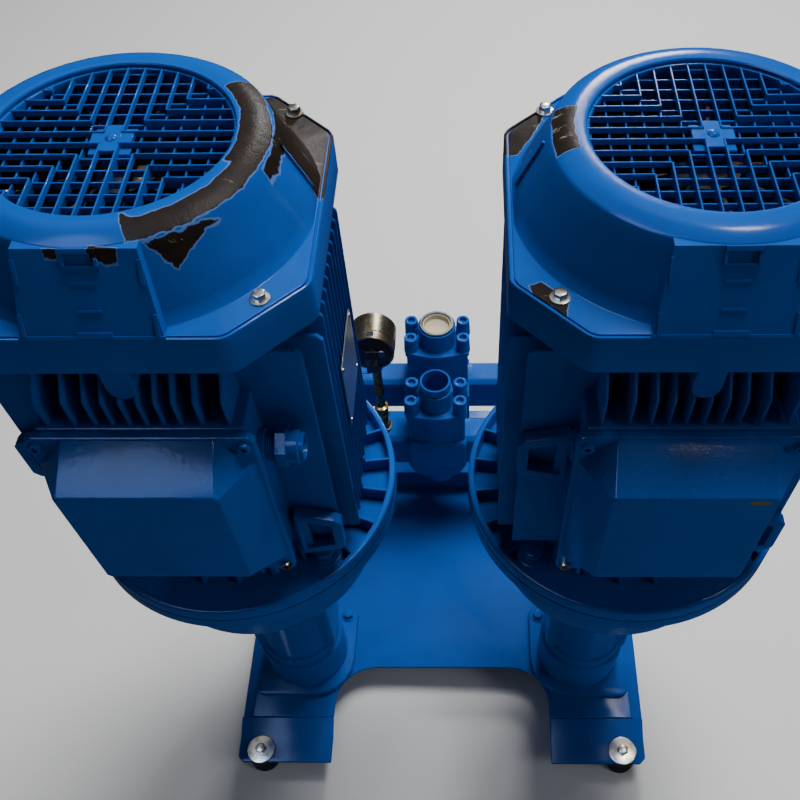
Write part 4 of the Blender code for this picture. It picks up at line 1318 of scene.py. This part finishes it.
def gauge():
    """Gauge with its back to the front: case, bezel, dark back with a socket block, plug and clip."""
    low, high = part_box("gauge_case")
    x = 0.5 * (low[0] + high[0])
    radius = 0.5 * (high[0] - low[0])
    z = high[2] - radius
    back = low[1]
    face = high[1]
    place = lying((x, back, z), (0.0, 1.0, 0.0))
    deep = face - back
    case = Form()
    case.lathe([(radius - 0.0045, 0.0016), (radius - 0.0022, 0.0), (radius - 0.0006, 0.0008),
                (radius - 0.0004, 0.0125), (radius - 0.0012, 0.0128), (radius - 0.0012, 0.0138),
                (radius, 0.0142), (radius, deep - 0.0016), (radius - 0.0014, deep), (radius - 0.0050, deep),
                (radius - 0.0056, deep - 0.0060), (radius - 0.0060, 0.0040)], 88, place, ring_shaped=True)
    dial = Form()
    dial.lathe([(0.0, deep - 0.0066), (radius - 0.0050, deep - 0.0066), (radius - 0.0050, deep - 0.0056),
                (0.0, deep - 0.0056)], 72, place)
    make_piece(dial, "gauge_dial", FINISHES["dial"], slot="brushed_steel")
    hands = Form()
    for number in range(11):
        turn = place @ Matrix.Rotation(radians(27 * number - 135), 4, "Z")
        hands.box((-0.0005, radius - 0.0135, deep - 0.0058), (0.0005, radius - 0.0085, deep - 0.0051), turn)
    turn = place @ Matrix.Rotation(radians(-128), 4, "Z")
    hands.box((-0.0006, -0.0050, deep - 0.0049), (0.0006, radius - 0.0115, deep - 0.0043), turn)
    hands.lathe([(0.0, deep - 0.0056), (0.0030, deep - 0.0056), (0.0030, deep - 0.0042), (0.0, deep - 0.0040)],
                24, place)
    make_piece(hands, "gauge_hands", FINISHES["dark"], slot="black_rubber")
    make_piece(case, "gauge_ring", FINISHES["steel"], stands_for=("gauge_case",), slot="brushed_steel")
    cover_back = Form()
    cover_back.lathe([(0.0, 0.0006), (radius - 0.0100, 0.0008), (radius - 0.0058, 0.0016),
                      (radius - 0.0044, 0.0030), (radius - 0.0044, 0.0050), (0.0, 0.0050)], 72, place)
    block = round_outline(rectangle((-0.0085, -radius - 0.003), (0.0085, 0.0060)), 0.002, 3)
    cover_back.loft([[(x + a, back - 0.0035, z + b) for a, b in block],
                     [(x + a, back + 0.010, z + b) for a, b in block]])
    make_piece(cover_back, "gauge_back", FINISHES["gauge_back"], slot="brushed_steel", round_by=0.0008, steps=2)
    small = Form()
    small.lathe([(0.0, -0.0018), (0.0050, -0.0016), (0.0056, -0.0008), (0.0056, 0.003), (0.0, 0.003)], 32,
                place @ Matrix.Translation((-0.0120, 0.0, 0.0)))
    make_piece(small, "gauge_plug", FINISHES["bare_tube"], slot="brushed_steel")
    clip = Form()
    clip.box((x - 0.0040, back + 0.0040, z + radius - 0.0020), (x + 0.0040, back + 0.0120, z + radius - 0.0003))
    make_piece(clip, "gauge_clip", FINISHES["dark"], slot="black_rubber", round_by=0.0004, steps=1)


def stem():
    """Turned brass stem with hexagon nuts, rings and a stretch of thread."""
    low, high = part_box("gauge_stem")
    x = 0.5 * (low[0] + high[0])
    y = 0.5 * (low[1] + high[1])
    place = Matrix.Translation((x, y, 0.0))
    foot = low[2]
    top = high[2]
    form = Form()
    profile = [(0.0, foot), (0.0105, foot), (0.0110, foot + 0.0008), (0.0110, foot + 0.0050),
               (0.0085, foot + 0.0058), (0.0080, foot + 0.0075)]
    rise = foot + 0.0080
    while rise < foot + 0.0270:
        profile += [(0.0078, rise), (0.0070, rise + 0.0009)]
        rise += 0.0018
    profile += [(0.0092, foot + 0.0285), (0.0095, foot + 0.0300), (0.0095, foot + 0.0330),
                (0.0078, foot + 0.0345), (0.0076, foot + 0.0400), (0.0092, foot + 0.0415),
                (0.0095, foot + 0.0430), (0.0095, foot + 0.0490), (0.0062, foot + 0.0505),
                (0.0060, foot + 0.0760), (0.0070, foot + 0.0775), (0.0070, foot + 0.0810),
                (0.0060, foot + 0.0825), (0.0060, top - 0.0190), (0.0078, top - 0.0175), (0.0, top - 0.0175)]
    form.lathe(profile, 40, place)
    for low_z, high_z, flats in ((foot + 0.0055, foot + 0.0145, 0.0185), (top - 0.0180, top, 0.0158)):
        ring = hexagon(flats, 0.3)
        form.loft([[(a * 0.94, b * 0.94, low_z) for a, b in ring], [(a, b, low_z + 0.0010) for a, b in ring],
                   [(a, b, high_z - 0.0010) for a, b in ring], [(a * 0.94, b * 0.94, high_z) for a, b in ring]],
                  place=place)
    make_piece(form, "stem_brass", FINISHES["brass"], stands_for=("gauge_stem",), slot="brass", sharp=35)


def light(name, place, aim, size, power, tone=(1.0, 1.0, 1.0), fills=True, shines=True):
    """A square lamp that lights the surfaces, or shows in their gloss, or both."""
    data = bpy.data.lights.new(name, "AREA")
    data.size = size
    data.energy = power
    data.color = tone
    obj = bpy.data.objects.new(name, data)
    bpy.context.scene.collection.objects.link(obj)
    obj.location = place
    obj.rotation_euler = (Vector(aim) - Vector(place)).to_track_quat("-Z", "Y").to_euler()
    obj.visible_diffuse = fills
    obj.visible_glossy = shines


def studio():
    """Pale floor, soft lights, and the camera at the photograph's place."""
    form = Form()
    form.box((-6.0, -6.0, -0.020), (6.0, 6.0, 0.0))
    ground = new_object("floor", form.mesh("floor"))
    ground.data.materials.append(floor_paint())
    ground.visible_glossy = False
    world = bpy.data.worlds.new("studio")
    bpy.context.scene.world = world
    world.use_nodes = True
    world.node_tree.nodes["Background"].inputs["Color"].default_value = (0.86, 0.89, 0.94, 1.0)
    world.node_tree.nodes["Background"].inputs["Strength"].default_value = 0.05
    light("overhead", (0.5, 0.9, 3.1), (0.0, 0.0, 0.4), 1.2, 125.0, shines=False)
    light("front_left", (-2.6, -2.6, 2.0), (0.0, -0.2, 0.5), 1.3, 3.0, shines=False)
    light("right", (2.9, -1.2, 1.8), (0.1, 0.0, 0.5), 0.9, 18.0, shines=False)
    light("rim", (0.6, 3.0, 2.3), (0.0, 0.0, 0.6), 0.7, 60.0)
    light("lid_glow", (-1.25, -1.05, 3.1), (-0.2, -0.3, 0.7), 1.5, 80.0, (0.42, 0.58, 1.0), fills=False)
    light("sparkle", (0.9, 0.2, 3.0), (0.0, 0.0, 0.7), 0.40, 34.0, fills=False)
    light("sky", (0.0, 0.6, 3.4), (0.0, 0.0, 0.0), 4.0, 30.0, fills=False)
    lens = 38.47
    data = bpy.data.cameras.new("camera")
    data.sensor_width = 36.0
    data.sensor_fit = "HORIZONTAL"
    data.lens = lens
    data.shift_x = -0.0675
    data.shift_y = 0.1374
    data.clip_start = 0.01
    eye = bpy.data.objects.new("camera", data)
    bpy.context.scene.collection.objects.link(eye)
    pitch, yaw, roll = 0.9968, 0.0308, -0.0256
    look = Vector((-sin(yaw) * cos(pitch), cos(yaw) * cos(pitch), -sin(pitch)))
    right = Vector((cos(yaw), sin(yaw), 0.0))
    above = right.cross(look)
    across = right * cos(roll) + above * sin(roll)
    upward = above * cos(roll) - right * sin(roll)
    turn = Matrix((across, upward, -look)).transposed().to_4x4()
    eye.matrix_world = Matrix.Translation((0.0370, -0.6482, 1.1989)) @ turn
    bpy.context.scene.camera = eye


class PumpOperator:
    """What the unit's operators share: a step that makes the pieces."""

    bl_options = {"REGISTER", "UNDO"}

    def execute(self, context):
        self.build()
        return {"FINISHED"}


class PUMP_OT_finishes(PumpOperator, bpy.types.Operator):
    """Mix the unit's paints, metals and plastics"""

    bl_idname = "pump.finishes"
    bl_label = "Finishes"

    def build(self):
        make_finishes()


class PUMP_OT_covers(PumpOperator, bpy.types.Operator):
    """Mould the two fan covers and bolt them down"""

    bl_idname = "pump.covers"
    bl_label = "Fan covers"

    def build(self):
        for side in SIDES:
            cover(side)
        cover_bolts()


class PUMP_OT_grilles(PumpOperator, bpy.types.Operator):
    """Lay the bars of the two fan grilles, over the fans"""

    bl_idname = "pump.grilles"
    bl_label = "Grilles and fans"

    def build(self):
        for side in SIDES:
            grille(side)
            fan(side)


class PUMP_OT_stators(PumpOperator, bpy.types.Operator):
    """Cast the two finned stators with their lifting eyes"""

    bl_idname = "pump.stators"
    bl_label = "Stators and lifting eyes"

    def build(self):
        for side in SIDES:
            stator(side)
            eyes(side)


class PUMP_OT_flanges(PumpOperator, bpy.types.Operator):
    """Cast the two motor flanges and bolt them down"""

    bl_idname = "pump.flanges"
    bl_label = "Motor flanges"

    def build(self):
        for side in SIDES:
            flange(side)


class PUMP_OT_terminals(PumpOperator, bpy.types.Operator):
    """Build the terminal boxes with their lids, screws, glands and blank plates"""

    bl_idname = "pump.terminals"
    bl_label = "Terminal boxes"

    def build(self):
        for side in SIDES:
            terminal_box(side)
            lid(side)
            gland(side)
            nameplate(side)
        lid_screws()


class PUMP_OT_pumps(PumpOperator, bpy.types.Operator):
    """Cast the bell housings, the pump casings and their pipes"""

    bl_idname = "pump.pumps"
    bl_label = "Bell housings and pumps"

    def build(self):
        for side in SIDES:
            bell(side)
            pump(side)


class PUMP_OT_base(PumpOperator, bpy.types.Operator):
    """Fold the base, and stand it on its rubber mounts"""

    bl_idname = "pump.base"
    bl_label = "Base"

    def build(self):
        base_sheets()
        for end, _ in ENDS:
            for side in SIDES:
                rubber_mount(end, side)
        base_fasteners()


class PUMP_OT_manifolds(PumpOperator, bpy.types.Operator):
    """Cast the discharge and suction manifolds with their port tubes"""

    bl_idname = "pump.manifolds"
    bl_label = "Manifolds"

    def build(self):
        for kind in ("discharge", "suction"):
            port_block(kind)
            port_tube(kind)
        cap()


class PUMP_OT_gauge(PumpOperator, bpy.types.Operator):
    """Turn the gauge and its brass stem"""

    bl_idname = "pump.gauge"
    bl_label = "Gauge"

    def build(self):
        gauge()
        stem()


class PUMP_OT_studio(PumpOperator, bpy.types.Operator):
    """Set up the floor, the lights and the camera"""

    bl_idname = "pump.studio"
    bl_label = "Studio"

    def build(self):
        studio()


OPERATORS = (PUMP_OT_finishes, PUMP_OT_covers, PUMP_OT_grilles, PUMP_OT_stators, PUMP_OT_flanges,
             PUMP_OT_terminals, PUMP_OT_pumps, PUMP_OT_base, PUMP_OT_manifolds, PUMP_OT_gauge,
             PUMP_OT_studio)


class PUMP_PT_unit(bpy.types.Panel):
    """Lists the unit's sizes, colours and steps"""

    bl_idname = "PUMP_PT_unit"
    bl_label = "Screw pump unit"
    bl_space_type = "VIEW_3D"
    bl_region_type = "UI"
    bl_category = "Pump unit"

    def draw(self, context):
        for kept in (context.scene.pump_sizes, context.scene.pump_colours):
            column = self.layout.column(align=True)
            for key in kept.bl_rna.properties.keys():
                if key not in ("rna_type", "name"):
                    column.prop(kept, key)
        for step in OPERATORS:
            self.layout.operator(step.bl_idname)


CLASSES = (PumpSizes, PumpColours, *OPERATORS, PUMP_PT_unit)


def register():
    for kind in CLASSES:
        bpy.utils.register_class(kind)
    bpy.types.Scene.pump_sizes = bpy.props.PointerProperty(type=PumpSizes)
    bpy.types.Scene.pump_colours = bpy.props.PointerProperty(type=PumpColours)


def unregister():
    del bpy.types.Scene.pump_colours
    del bpy.types.Scene.pump_sizes
    for kind in reversed(CLASSES):
        bpy.utils.unregister_class(kind)


def main():
    register()
    for step in OPERATORS:
        group, action = step.bl_idname.split(".")
        getattr(getattr(bpy.ops, group), action)()


if __name__ == "__main__":
    main()
